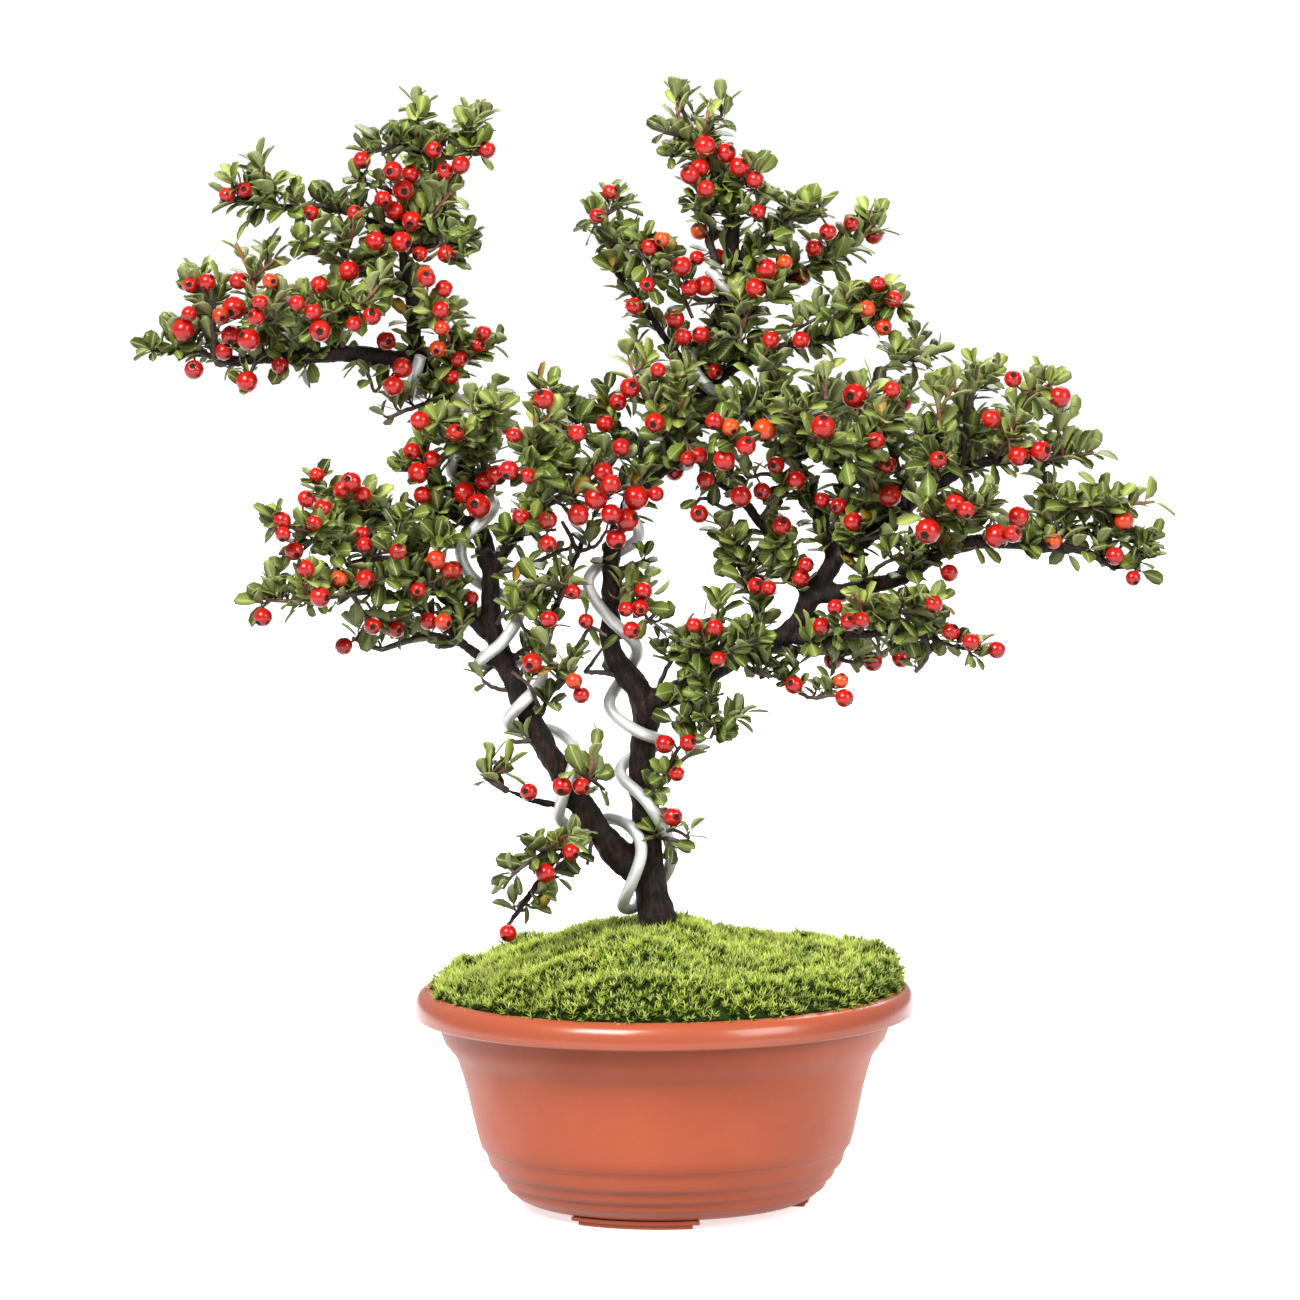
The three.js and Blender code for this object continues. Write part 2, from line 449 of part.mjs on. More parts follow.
// What stands in the way of leaves and stalks: thick lines, each with the piece that it belongs to
const obstacles = [];

function addObstacle(owner, points, radii) {
  for (let i = 0; i + 1 < points.length; i += 1) {
    const line = new THREE.Line3(points[i], points[i + 1]);
    obstacles.push({ owner, line, from: radii[i], to: radii[i + 1], isEnd: i + 2 === points.length });
  }
}

const nearest = new THREE.Vector3();

// Distance from a point to a thick line, which is round at its joints and flat at the piece's end
function clearance(point, { line, from, to, isEnd }) {
  const reached = line.closestPointToPointParameter(point, false);
  const share = THREE.MathUtils.clamp(reached, 0, 1);
  line.at(share, nearest);
  const distance = nearest.distanceTo(point);
  if (!isEnd || reached <= 1) return distance - THREE.MathUtils.lerp(from, to, share);
  const beyond = (reached - 1) * line.distance();
  const aside = Math.sqrt(Math.max(distance ** 2 - beyond ** 2, 0));
  return Math.hypot(Math.max(aside - to, 0), beyond);
}

function isClear(points, least, owner, leastToOwn = -Infinity) {
  return obstacles.every((obstacle) => {
    const needed = obstacle.owner === owner ? leastToOwn : least;
    return points.every((point) => clearance(point, obstacle) > needed);
  });
}

const group = new THREE.Group();

function addMesh(name, geometry, material) {
  const mesh = new THREE.Mesh(geometry, material);
  mesh.name = name;
  group.add(mesh);
  return mesh;
}

const MATERIALS = {
  pot: new THREE.MeshStandardMaterial({ color: 0xb5562f, roughness: 0.42 }),
  soil: new THREE.MeshStandardMaterial({ color: 0x2e211a, roughness: 0.95 }),
  moss: new THREE.MeshStandardMaterial({ color: 0x7fa52b, roughness: 0.95 }),
  bark: new THREE.MeshStandardMaterial({ color: 0x35231e, roughness: 0.8 }),
  wire: new THREE.MeshStandardMaterial({ color: 0xc9ccca, roughness: 0.42, metalness: 0.85 }),
  leaf: new THREE.MeshStandardMaterial({ color: 0x557a35, roughness: 0.5 }),
  berry: new THREE.MeshStandardMaterial({ color: 0xd8221c, roughness: 0.22 }),
};

// Pot: turned wall with a rolled rim, three stepped rings at the base, three feet and drain holes
const POT_OUTSIDE = [
  [0, FOOT_HEIGHT], [49, FOOT_HEIGHT], [58.4, 6.2], [60.4, 7.4], [61.4, 10.4], [63.8, 11.6],
  [65, 15.2], [67, 16.4], [68.4, 21], [71.6, 28.7], [75.4, 46], [78.6, 57], [84.6, 66.8],
  [88.4, 78.6], [92.3, 78.6], [92.9, 74.4],
];
const POT_RIM = [
  [94.4, 74], [RIM_RADIUS, 75.6], [94.3, 80.6], [92.4, 83.2], [90, LIP_HEIGHT], [LIP_RADIUS, 83.4],
];
const POT_INSIDE = [
  [86, 78.6], [82, 66.8], [75.8, 55.3], [69.2, 28.7], [57, 8.4], [0, FOOT_HEIGHT + WALL],
];
const POT_SEGMENTS = 24;

function lathe(profile, segments) {
  const turned = new THREE.LatheGeometry(profile.map(([r, z]) => new THREE.Vector2(r, z)), segments);
  return turned.rotateX(Math.PI / 2);
}

function makeFoot(angle) {
  const steps = 5;
  const arc = Array.from({ length: steps + 1 }, (_, k) => rad(FOOT_HALF_ANGLE) * ((2 * k) / steps - 1));
  const corner = (radius, turn) => new THREE.Vector2(radius * Math.sin(turn), -radius * Math.cos(turn));
  const outer = arc.map((turn) => corner(FOOT_OUTER_RADIUS, turn));
  const inner = arc.map((turn) => corner(FOOT_INNER_RADIUS, turn)).reverse();
  const shape = new THREE.Shape([...outer, ...inner]);
  const depth = FOOT_HEIGHT + WALL / 2;
  return new THREE.ExtrudeGeometry(shape, { depth, bevelEnabled: false, steps: 1 }).rotateZ(rad(angle));
}

function makePot() {
  const wall = solid(lathe([...POT_OUTSIDE, ...POT_RIM, ...POT_INSIDE], POT_SEGMENTS));
  let pot = fuse([wall, ...FOOT_ANGLES.map((angle) => solid(makeFoot(angle)))]);
  for (let k = 0; k < DRAIN_HOLES; k += 1) {
    const hole = new THREE.CylinderGeometry(DRAIN_HOLE_RADIUS, DRAIN_HOLE_RADIUS, WALL * 5, 10);
    const turn = ((k + 0.5) / DRAIN_HOLES) * Math.PI * 2;
    hole.rotateX(Math.PI / 2);
    hole.translate(DRAIN_CIRCLE_RADIUS * Math.cos(turn), DRAIN_CIRCLE_RADIUS * Math.sin(turn), FOOT_HEIGHT);
    pot = pot.subtract(solid(hole));
  }
  return pot;
}

// Soil: fills the pot to just under the moss, with a plain hole for the trunk
function makeSoil(woodWithGap) {
  const inside = POT_INSIDE.filter(([, z]) => z < SOIL_TOP).map(([r, z]) => [Math.max(r - GAP, 0), z + GAP]);
  const profile = [...inside.reverse(), [86 - GAP, SOIL_TOP], [0, SOIL_TOP]];
  return solid(lathe(profile, POT_SEGMENTS)).subtract(woodWithGap);
}

// Moss: an uneven cushion, rounded over at the rim and highest round the trunk
function makeMoss(woodWithGap) {
  const profile = [
    [0, SOIL_TOP + GAP], [84, SOIL_TOP + GAP], [86.6, 83.6], [89.4, 87], [88.6, 91.5], [83, 96], [68, 99.5],
    [48, 103.5], [26, 107], [0, MOSS_TOP],
  ];
  const geometry = lathe(profile, POT_SEGMENTS);
  const position = geometry.attributes.position;
  for (let i = 0; i < position.count; i += 1) {
    const [x, y, z] = [position.getX(i), position.getY(i), position.getZ(i)];
    if (z < MOSS_EDGE_TOP || Math.hypot(x, y) < 1) continue;
    const lumps = Math.sin(x * 0.11 + 1) * Math.cos(y * 0.13) + 0.6 * Math.sin(x * 0.05 - y * 0.21);
    position.setZ(i, z + lumps * MOSS_LUMPS + x * MOSS_SLOPE);
  }
  return solid(geometry).subtract(woodWithGap);
}

// Wood: trunk, leader and limbs, grown as one piece
const woodPaths = Object.entries(LIMBS).map(([name, limb]) => {
  const points = limb.points.map(place);
  const radii = [...limb.radii];
  if (name === 'leader') {
    points.unshift(new THREE.Vector3(points[0].x, points[0].y, TRUNK_BOTTOM));
    radii.unshift(radii[0] + ROOT_FLARE);
  }
  return { points, radii, sides: limb.sides };
});

function makeWood(extra) {
  return fuse(woodPaths.map(({ points, radii, sides }) => solid(stem(points, radii, sides, extra))));
}

// Wire: a smooth line through its points, pushed out of the wood wherever it would touch it
function wireLine() {
  const curve = new THREE.CatmullRomCurve3(WIRE.map(place), false, 'centripetal');
  const line = curve.getSpacedPoints(WIRE_STEPS);
  const wood = obstacles.filter((obstacle) => obstacle.owner === 'wood');
  for (let pass = 0; pass < 6; pass += 1) {
    for (const point of line) {
      for (const obstacle of wood) {
        const lack = WIRE_RADIUS + WIRE_CLEAR - clearance(point, obstacle);
        if (lack > 0) point.addScaledVector(point.clone().sub(nearest).normalize(), lack);
      }
    }
  }
  return line;
}

function makeWire(line, radius) {
  const circle = new THREE.Shape();
  for (let k = 0; k < WIRE_SIDES; k += 1) {
    const angle = (k / WIRE_SIDES) * Math.PI * 2;
    const [x, y] = [radius * Math.cos(angle), radius * Math.sin(angle)];
    if (k === 0) circle.moveTo(x, y);
    else circle.lineTo(x, y);
  }
  const path = new THREE.CatmullRomCurve3(line, false, 'centripetal');
  return solid(new THREE.ExtrudeGeometry(circle, { steps: WIRE_STEPS, extrudePath: path, bevelEnabled: false }));
}

// Sprays: a spray is one skin, grown corner by corner. A shoot is a row of three-cornered rings. At a
// bud two rings stand close together, and each of the three faces between them is either closed or
// drawn out into a leaf or a side shoot.
const RING = 3;
const MOST_TWIST = rad(35);
const FIRST_FACING = new THREE.Vector3(0.2, 0.1, 1);
const BUD_LENGTH = 1.3;
const BUD_STEP = 3.4; // least distance between buds
const ELBOW = 0.8; // a side shoot that leaves its face more slantingly than this gets one more ring
const LEAF_SPREAD = 54; // degrees between a leaf and its shoot
const TIP_SPREAD = 40;
const LEAF_TO_LEAF = 2.4;
const LEAF_RISE = 0.18; // how far leaves turn up towards the light
const SMALLEST_LEAF = 0.9; // of the usual size
const SIZE_RANGE = 0.25;
const ROLL_RANGE = 0.5; // radians that leaves are turned round their own length
const ROOT_SINK = 0.7; // where a leaf's root lies between its shoot's middle and skin
const TAPER = 0.75; // a shoot's thickness at its tip, of that at its foot
const BUD_TAPER = 0.94;
const FIRST_BUD = 2.2; // least distance of a bud from its shoot's foot

class Skin {
  positions = [];
  index = [];

  add(point) {
    this.positions.push(point.x, point.y, point.z);
    return this.positions.length / 3 - 1;
  }

  quad(a, b, c, d) {
    this.index.push(a, b, c, a, c, d);
  }

  // Joins two loops that run the same way round and may differ in their number of corners
  bridge(from, to) {
    let i = 0;
    let j = 0;
    while (i < from.length || j < to.length) {
      const a = from[i % from.length];
      const b = to[j % to.length];
      if ((i + 0.5) / from.length <= (j + 0.5) / to.length) {
        i += 1;
        this.index.push(a, from[i % from.length], b);
      } else {
        j += 1;
        this.index.push(a, to[j % to.length], b);
      }
    }
  }

  solid() {
    const geometry = new THREE.BufferGeometry();
    geometry.setAttribute('position', new THREE.Float32BufferAttribute(this.positions, 3));
    geometry.setIndex(this.index);
    return geometry;
  }
}

// A leaf's blade: broadest at two thirds of its length, with a bent tip
function bladeCorners({ root, along, across, face, size }) {
  const half = face.clone().multiplyScalar(LEAF_THICKNESS / 2);
  const broad = root.clone().addScaledVector(along, LEAF_LENGTH * 0.64 * size);
  const reach = across.clone().multiplyScalar((LEAF_WIDTH / 2) * size);
  const tip = root.clone().addScaledVector(along, LEAF_LENGTH * size).addScaledVector(face, -0.9);
  return {
    low: [broad.clone().sub(reach).sub(half), broad.clone().add(reach).sub(half)],
    high: [broad.clone().sub(reach).add(half), broad.clone().add(reach).add(half)],
    tip: [tip.clone().sub(half), tip.clone().add(half)],
  };
}

// Points spread over a blade, by which its distance from other pieces is judged
function bladeSamples(blade) {
  const { low, tip } = bladeCorners(blade);
  const samples = [];
  for (const share of [0.4, 0.7, 1]) {
    for (const side of [0, 0.25, 0.5, 0.75, 1]) {
      samples.push(blade.root.clone().lerp(low[0].clone().lerp(low[1], side), share));
    }
  }
  for (const side of [0.15, 0.5, 0.85]) {
    samples.push(low[0].clone().lerp(low[1], side).lerp(tip[0], 0.45));
  }
  samples.push(tip[0]);
  return samples;
}

function growLeaf(skin, [a0, a1, b1, b0], blade) {
  const { low, high, tip } = bladeCorners(blade);
  const [s0, s1] = low.map((point) => skin.add(point));
  const [t0, t1] = high.map((point) => skin.add(point));
  const [q, p] = tip.map((point) => skin.add(point));
  skin.quad(a0, a1, s1, s0);
  skin.index.push(s0, s1, q);
  skin.quad(a1, b1, t1, s1);
  skin.quad(s1, t1, p, q);
  skin.quad(b1, b0, t0, t1);
  skin.index.push(t1, t0, p);
  skin.quad(b0, a0, s0, t0);
  skin.quad(t0, s0, q, p);
}

// A ring of corners round a point of a shoot, the first face of which looks the given way
function ringPoints(point, axis, toward, radius) {
  const out = toward.clone().addScaledVector(axis, -toward.dot(axis)).normalize();
  const side = axis.clone().cross(out);
  return Array.from({ length: RING }, (_, k) => {
    const angle = ((k - 0.5) / RING) * Math.PI * 2;
    const corner = point.clone().addScaledVector(out, radius * Math.cos(angle));
    return corner.addScaledVector(side, radius * Math.sin(angle));
  });
}

function ringAt(skin, point, axis, toward, radius) {
  return ringPoints(point, axis, toward, radius).map((corner) => skin.add(corner));
}

// The way that a ring's first face looks: turned from the ring before it, within the twist that a
// three-sided stretch bears, so that one of its faces comes near to looking the wanted way
function turnedFacing(wanted, axis, previous) {
  const flat = (v) => v.clone().addScaledVector(axis, -v.dot(axis)).normalize();
  const reference = flat(previous);
  const aim = flat(wanted);
  const turn = Math.atan2(reference.clone().cross(aim).dot(axis), reference.dot(aim));
  const faceStep = (Math.PI * 2) / RING;
  const shortest = turn - Math.round(turn / faceStep) * faceStep;
  return reference.applyAxisAngle(axis, THREE.MathUtils.clamp(shortest, -MOST_TWIST, MOST_TWIST));
}

const placedLeaves = [];

function tryLeaf(blade, shoot) {
  const samples = bladeSamples(blade);
  if (!isClear(samples, LEAF_THICKNESS / 2 + CLEAR, shoot, LEAF_THICKNESS / 2)) return false;
  const centre = samples[7];
  const crowded = placedLeaves.some((other) => other.centre.distanceTo(centre) < LEAF_LENGTH * 1.4
    && samples.some((a) => other.samples.some((b) => a.distanceTo(b) < LEAF_TO_LEAF)));
  if (crowded) return false;
  placedLeaves.push({ samples, centre });
  return true;
}

// Buds of a shoot: one at each corner of its line that bears side shoots, one near its end, and more
// in the long stretches between
function budPlaces(shoot, children) {
  const lengths = [0];
  shoot.points.forEach((point, i) => {
    if (i > 0) lengths.push(lengths[i - 1] + point.distanceTo(shoot.points[i - 1]));
  });
  const total = lengths[lengths.length - 1];
  const places = children.map((child) => {
    const at = shoot.points.findIndex((point) => point.distanceTo(child.points[0]) < 0.01);
    return { length: Math.min(Math.max(lengths[at], shoot.begin + FIRST_BUD), total - 2), child };
  });
  places.push({ length: total - BUD_LENGTH, isTip: true });
  for (let length = shoot.begin + LEAF_SPACING * 0.8; length < total - 9; length += LEAF_SPACING) {
    places.push({ length });
  }
  places.sort((a, b) => a.length - b.length);
  const merged = [];
  for (const { length, child, isTip } of places) {
    const last = merged[merged.length - 1];
    const isNear = last && length - last.length < BUD_STEP;
    if (isNear && child && last.children.length === 2) {
      merged.push({ length: last.length + BUD_STEP, children: [child] });
    } else if (isNear) {
      if (child) last.children.push(child);
      if (isTip) Object.assign(last, { isTip, length: Math.max(length, last.length) });
    } else {
      merged.push({ length, children: child ? [child] : [], isTip });
    }
  }
  return { places: merged, lengths };
}

function pointAt(points, lengths, length) {
  const i = Math.max(1, lengths.findIndex((reached) => reached >= length));
  const share = (length - lengths[i - 1]) / (lengths[i] - lengths[i - 1]);
  return points[i - 1].clone().lerp(points[i], Math.min(share, 1));
}

function growShoot(skin, shoot, shoots, base, random) {
  const children = shoots.filter((other) => other.parent === shoot);
  const { places, lengths } = budPlaces(shoot, children);
  const total = lengths[lengths.length - 1];
  const radiusAt = (length) => THREE.MathUtils.lerp(shoot.radius, SHOOT_RADIUS * TAPER, length / total);
  const at = (length) => pointAt(shoot.points, lengths, length);
  const axisAt = (length) => at(Math.min(length + 1.5, total)).sub(at(Math.max(length - 1.5, 0))).normalize();

  let facing = FIRST_FACING.clone();
  let loop = base;
  if (!loop) {
    const direction = shoot.points[1].clone().sub(shoot.points[0]).normalize();
    loop = ringAt(skin, at(shoot.begin), direction, facing, radiusAt(0));
    skin.index.push(loop[0], loop[2], loop[1]);
  } else {
    const corner = (k) => new THREE.Vector3().fromArray(skin.positions, base[k] * 3);
    const last = base.length - 1;
    facing = corner(0).add(corner(1)).sub(corner(2)).sub(corner(last));
  }

  for (const { length, children: sideShoots, isTip } of places) {
    const axis = axisAt(length);
    const wanted = sideShoots.length ? sideShoots[0].points[1].clone().sub(at(length)) : null;
    const turned = wanted ?? facing.clone().applyAxisAngle(axis, rad(60));
    const out = turnedFacing(turned, axis, facing);
    const lower = ringAt(skin, at(length - BUD_LENGTH / 2), axis, out, radiusAt(length));
    const upper = ringAt(skin, at(length + BUD_LENGTH / 2), axis, out, radiusAt(length) * BUD_TAPER);
    skin.bridge(loop, lower);

    const faces = Array.from({ length: RING }, (_, k) => {
      const normal = out.clone().applyAxisAngle(axis, (k / RING) * Math.PI * 2);
      const next = (k + 1) % RING;
      return { normal, corners: [lower[k], lower[next], upper[next], upper[k]], isFree: true };
    });
    for (const child of sideShoots) {
      const away = child.points[1].clone().sub(at(length)).normalize();
      const free = faces.filter(({ isFree }) => isFree);
      const [face] = free.sort((a, b) => b.normal.dot(away) - a.normal.dot(away));
      face.isFree = false;
      child.points[0] = at(length).addScaledVector(face.normal, radiusAt(length) * ROOT_SINK);
      let foot = face.corners;
      if (face.normal.dot(away) < ELBOW) {
        const elbow = child.points[0].clone().addScaledVector(face.normal, 1).addScaledVector(away, 0.8);
        foot = ringAt(skin, elbow, away.add(face.normal).normalize(), axis.clone().negate(), SHOOT_RADIUS);
        skin.bridge(face.corners, foot);
      }
      growShoot(skin, child, shoots, foot, random);
    }
    const spread = rad(isTip ? TIP_SPREAD : LEAF_SPREAD);
    const most = isTip ? 2 : 1;
    let grown = 0;
    const order = faces.map((face) => ({ face, rank: random() - face.normal.z * 0.25 }));
    for (const { face } of order.sort((a, b) => a.rank - b.rank)) {
      if (!face.isFree) continue;
      const { normal } = face;
      const along = axis.clone().multiplyScalar(Math.cos(spread)).addScaledVector(normal, Math.sin(spread));
      along.z += LEAF_RISE;
      along.normalize();
      const across = axis.clone().cross(normal);
      across.applyAxisAngle(along, (random() - 0.5) * ROLL_RANGE);
      across.addScaledVector(along, -across.dot(along)).normalize();
      const root = at(length).addScaledVector(normal, radiusAt(length) * ROOT_SINK);
      const size = SMALLEST_LEAF + SIZE_RANGE * random();
      const blade = { root, along, across, face: along.clone().cross(across), size };
      if (grown < most && tryLeaf(blade, shoot)) {
        growLeaf(skin, face.corners, blade);
        grown += 1;
      } else {
        skin.quad(...face.corners);
      }
    }
    loop = upper;
    facing = out;
  }
  skin.index.push(...loop);
}

// The shoots of a spray, each with the one that it grows from and the length at which it begins
function readSpray(lines) {
  const shoots = lines.map((line) => ({ points: line.map(place), radius: SHOOT_RADIUS, begin: 0 }));
  shoots.forEach((shoot, i) => {
    shoot.parent = i === 0 ? null : shoots.slice(0, i).find(({ points }) => points.some(
      (point) => point.distanceTo(shoot.points[0]) < 0.01));
    if (i > 0 && !shoot.parent) throw new Error(`a shoot has no parent: ${lines[i]}`);
  });
  const [first] = shoots;
  first.radius = SHOOT_RADIUS * 1.25;
  const direction = first.points[1].clone().sub(first.points[0]).normalize();
  const foot = () => ringPoints(
    first.points[0].clone().addScaledVector(direction, first.begin), direction, FIRST_FACING, first.radius);
  while (!isClear(foot(), GAP + 0.05, first)) first.begin += 0.05;
  return shoots;
}

function makeSpray(shoots, random) {
  const skin = new Skin();
  growShoot(skin, shoots[0], shoots, null, random);
  return skin.solid();
}

// Bunches: each berry hangs on a stalk from the nearest point of its bunch that it can reach
function linePoints(a, b) {
  const count = Math.max(2, Math.ceil(a.distanceTo(b) / 1.5));
  return Array.from({ length: count + 1 }, (_, i) => a.clone().lerp(b, i / count));
}

function makeBunch(name, points, cutter) {
  const joined = [points[0]];
  const solids = [];
  for (const berry of points.slice(1)) {
    if (!isClear([berry], BERRY_RADIUS + STALK_CLEAR, name)) continue;
    const sources = [...joined].sort((a, b) => a.distanceTo(berry) - b.distanceTo(berry));
    const source = sources.find((from) => {
      const free = linePoints(from, berry).slice(from === points[0] ? 6 : 0);
      return isClear(free, STALK_RADIUS + STALK_CLEAR, name);
    });
    if (!source) continue;
    solids.push(solid(stem([source, berry], [STALK_RADIUS, STALK_RADIUS], 3)));
    const round = new THREE.IcosahedronGeometry(BERRY_RADIUS * 1.08, 0);
    solids.push(solid(round.translate(berry.x, berry.y, berry.z)));
    joined.push(berry);
    addObstacle(name, [source, berry], [STALK_RADIUS, STALK_RADIUS]);
    addObstacle(name, [berry, berry.clone()], [BERRY_RADIUS, BERRY_RADIUS]);
  }
  return fuse(solids).subtract(cutter);
}

// Assembly
for (const { points, radii } of woodPaths) addObstacle('wood', points, radii);
const woodWithGap = makeWood(GAP);
addMesh('pot', geometryOf(makePot()), MATERIALS.pot);
addMesh('soil', geometryOf(makeSoil(woodWithGap)), MATERIALS.soil);
addMesh('moss', geometryOf(makeMoss(woodWithGap)), MATERIALS.moss);

const wirePath = wireLine();
addMesh('wood', geometryOf(makeWood(0).subtract(makeWire(wirePath, WIRE_RADIUS + GAP))), MATERIALS.bark);
addMesh('wire', geometryOf(makeWire(wirePath, WIRE_RADIUS)), MATERIALS.wire);
addObstacle('wire', wirePath, wirePath.map(() => WIRE_RADIUS));

const sprays = Object.entries(SPRAYS).map(([name, lines]) => ({ name, shoots: readSpray(lines) }));
for (const { shoots } of sprays) {
  for (const shoot of shoots) addObstacle(shoot, shoot.points, shoot.points.map(() => SHOOT_RADIUS));
}
for (const [name, bunch] of Object.entries(BUNCHES)) {
  const body = makeBunch(`berries_${name}`, bunch.map(place), woodWithGap);
  addMesh(`berries_${name}`, geometryOf(body), MATERIALS.berry);
}
sprays.forEach(({ name, shoots }, i) => {
  addMesh(`spray_${name}`, makeSpray(shoots, randomSource(SEED + i)), MATERIALS.leaf);
});

export default group;
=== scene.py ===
import functools
import math
import random

import bmesh
import bpy
from bpy.props import FloatProperty, FloatVectorProperty, IntProperty, PointerProperty
from mathutils import Euler, Matrix, Vector, kdtree, noise


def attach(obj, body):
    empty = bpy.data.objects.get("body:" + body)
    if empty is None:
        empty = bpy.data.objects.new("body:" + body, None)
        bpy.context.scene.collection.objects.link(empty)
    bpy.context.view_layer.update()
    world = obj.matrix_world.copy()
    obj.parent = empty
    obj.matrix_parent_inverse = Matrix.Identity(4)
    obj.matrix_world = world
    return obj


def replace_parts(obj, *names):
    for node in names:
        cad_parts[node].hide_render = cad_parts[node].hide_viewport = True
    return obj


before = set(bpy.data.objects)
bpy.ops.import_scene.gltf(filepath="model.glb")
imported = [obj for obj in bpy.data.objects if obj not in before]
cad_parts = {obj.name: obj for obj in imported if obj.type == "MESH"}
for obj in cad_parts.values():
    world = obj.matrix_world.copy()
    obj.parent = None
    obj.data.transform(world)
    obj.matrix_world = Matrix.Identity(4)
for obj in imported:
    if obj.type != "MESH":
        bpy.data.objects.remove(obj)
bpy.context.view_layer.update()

bl_info = {
    "name": "Berry Bonsai",
    "version": (1, 0, 0),
    "blender": (4, 5, 0),
    "location": "View3D > Sidebar > Bonsai",
    "description": "Builds a red-berried bonsai in a round plastic pot",
    "category": "Add Mesh",
}

MM = 0.001  # lengths are in millimetres, apart from the stage's, and become metres in the meshes
GOLDEN_ANGLE = math.radians(137.5)

# Front drawing of the tree: u to the right and v down, in units of 0.378 mm at the trunk, as seen by
# the camera. A third number is the depth in millimetres, positive behind the trunk. Depths are drawn
# shallow: what lies past the knee is spread out.
FOCAL = 7222
CENTRE = 650
EYE_DISTANCE = 2730
LOOK_DOWN = math.radians(6)
ROLL = math.radians(0.6)
AIM = Vector((-4.1, 0, 212.5))
KNEE = 14
SPREAD = 1.7
UNIT = 0.378  # a drawing unit at the trunk

# Pot, turned: distance from its axis and height
POT_OUTSIDE = [
    (0, 2.8), (47, 2.8), (50.5, 3.1), (54, 3.6), (57.2, 5.2), (59, 7), (60.4, 7.7), (61, 8.6),
    (61.3, 10.2), (62, 11.1), (63.4, 11.7), (64, 12.6), (64.7, 15), (65.5, 16), (66.6, 16.5),
    (67.2, 17.4), (68.2, 21), (69.2, 23), (70.3, 24.2), (71.6, 28.7), (73.5, 37), (75.4, 46),
    (77.4, 53.2), (78.8, 57.4), (80.2, 60.2), (81.6, 61.6), (82.2, 62.8), (83.6, 64.2), (84.4, 66.2),
    (85.6, 69.4), (87, 73.4), (88.1, 76.6), (88.8, 78.2), (90.6, 78.4), (92.1, 78.1), (92.7, 77.2),
    (92.8, 75.2), (93.2, 74.3),
]
POT_RIM = [
    (94.1, 74.1), (94.8, 74.6), (95, 75.8), (94.9, 77.4), (94.6, 79.4), (94.1, 81), (93.3, 82.3),
    (92.3, 83.2), (91.4, 83.6), (91, 83.5), (90.6, 83.1), (90.2, 83.2), (89.7, 83.7), (89, 84),
    (88.3, 83.9), (87.9, 83.4), (87.6, 82.4),
]
POT_INSIDE = [
    (86.8, 79.4), (85.6, 77.4), (84, 72), (82, 66.8), (78.6, 60), (75.8, 55.3), (73.6, 47), (71.5, 38),
    (69.2, 28.7), (66, 20), (62, 12.6), (57, 8.4), (50, 5.8), (0, 5),
]
POT_SEGMENTS = 144
POT_STEPS = (7.4, 11.4, 16.2, 23.8, 73.9)  # heights of its steps, where thin lines of painted shade darken the plastic
POT_LIP = (73.5, 75.5)  # heights between which the body's finish turns into the rim's
FOOT_ANGLES = (-14, 106, -134)  # from the front towards +X
# Each foot's pad and the wider flange above it: half of its angle, its inner and outer distance, and its
# lowest and top height
FOOT_PARTS = ((24.5, 43.6, 53.2, 0, 3.3), (27, 42.2, 54.6, 1.7, 3.3))
FOOT_STEPS = 14
FOOT_EASE = 0.45  # taken off its lower edges
DRAIN_HOLES = 4
DRAIN_RADIUS = 4
DRAIN_DISTANCE = 26
SOIL_TOP = 80.6
SOIL_SEGMENTS = 96
SOIL_RING = (81, 86.2)  # distances between which loose grains lie
SOIL_RING_SEGMENTS = 72
GRAIN_DENSITY = 620000.0  # grains on a square metre
GRAIN_RADII = (0.35, 1.1)

# Moss: its rounded cushion, turned like the pot
MOSS_PROFILE = [
    (84, 80.6), (86.4, 81.2), (88, 83), (88.8, 86), (88.4, 89.5), (86.6, 92.6), (82.6, 95.4), (76, 97.6),
    (66, 99.6), (54, 101.8), (40, 104.2), (26, 106.4), (13, 107.8), (0, 108.3),
]
MOSS_SEGMENTS = 96
MOSS_REACH = 90
MOSS_LEAN = (-8, -7, -4, -2, -1, -4, -5, -3, 3)  # height added to it from its left edge to its right
MOSS_EDGE = 84  # the cushion is lumpy above this height
MOSS_FOOT = 82.2  # and carries tufts above this one
MOSS_SHRINK = 0.985  # room for the tufts at its side
MOSS_SUNK = 2.2  # and on its top

# Shoots and leaves
LEAFY_RADIUS = 3.5  # wood thinner than this carries leaves
# Parts of the drawing where the wood shows: least u, most u, least v and most v
SPARSE_BOXES = ((465, 680, 525, 1000), (690, 768, 488, 580), (338, 400, 595, 650), (860, 960, 560, 600))
SPARSE_SHARE = 0.35  # of their spurs that stay
SPUR_LENGTHS = (2, 6.5)
SPUR_RADII = (0.7, 0.4)  # at its foot and at its tip, as in the two lines below
FIRST_SHOOT_RADII = (1.25, 0.75)
SIDE_SHOOT_RADII = (1.0, 0.6)
SHOOT_SPACING = 3.6  # between the leaves
SPUR_SPACING = 1.1
UPRIGHT_RISE = 0.6  # a shoot that climbs more steeply is bare at its tip
UPRIGHT_CLOTHED = 0.62  # share of such a shoot that has leaves
LEAF_OPENNESS = (0.7, 1.7)  # sideways share of a leaf's direction, from the least to the most
LEAF_SIZES = (0.72, 1.12)
LEAF_BREADTHS = (0.82, 1.12)
LEAF_FOLDS = (0.5, 1.7)
LEAF_LIFT = 0.35  # how far leaves turn up to the light

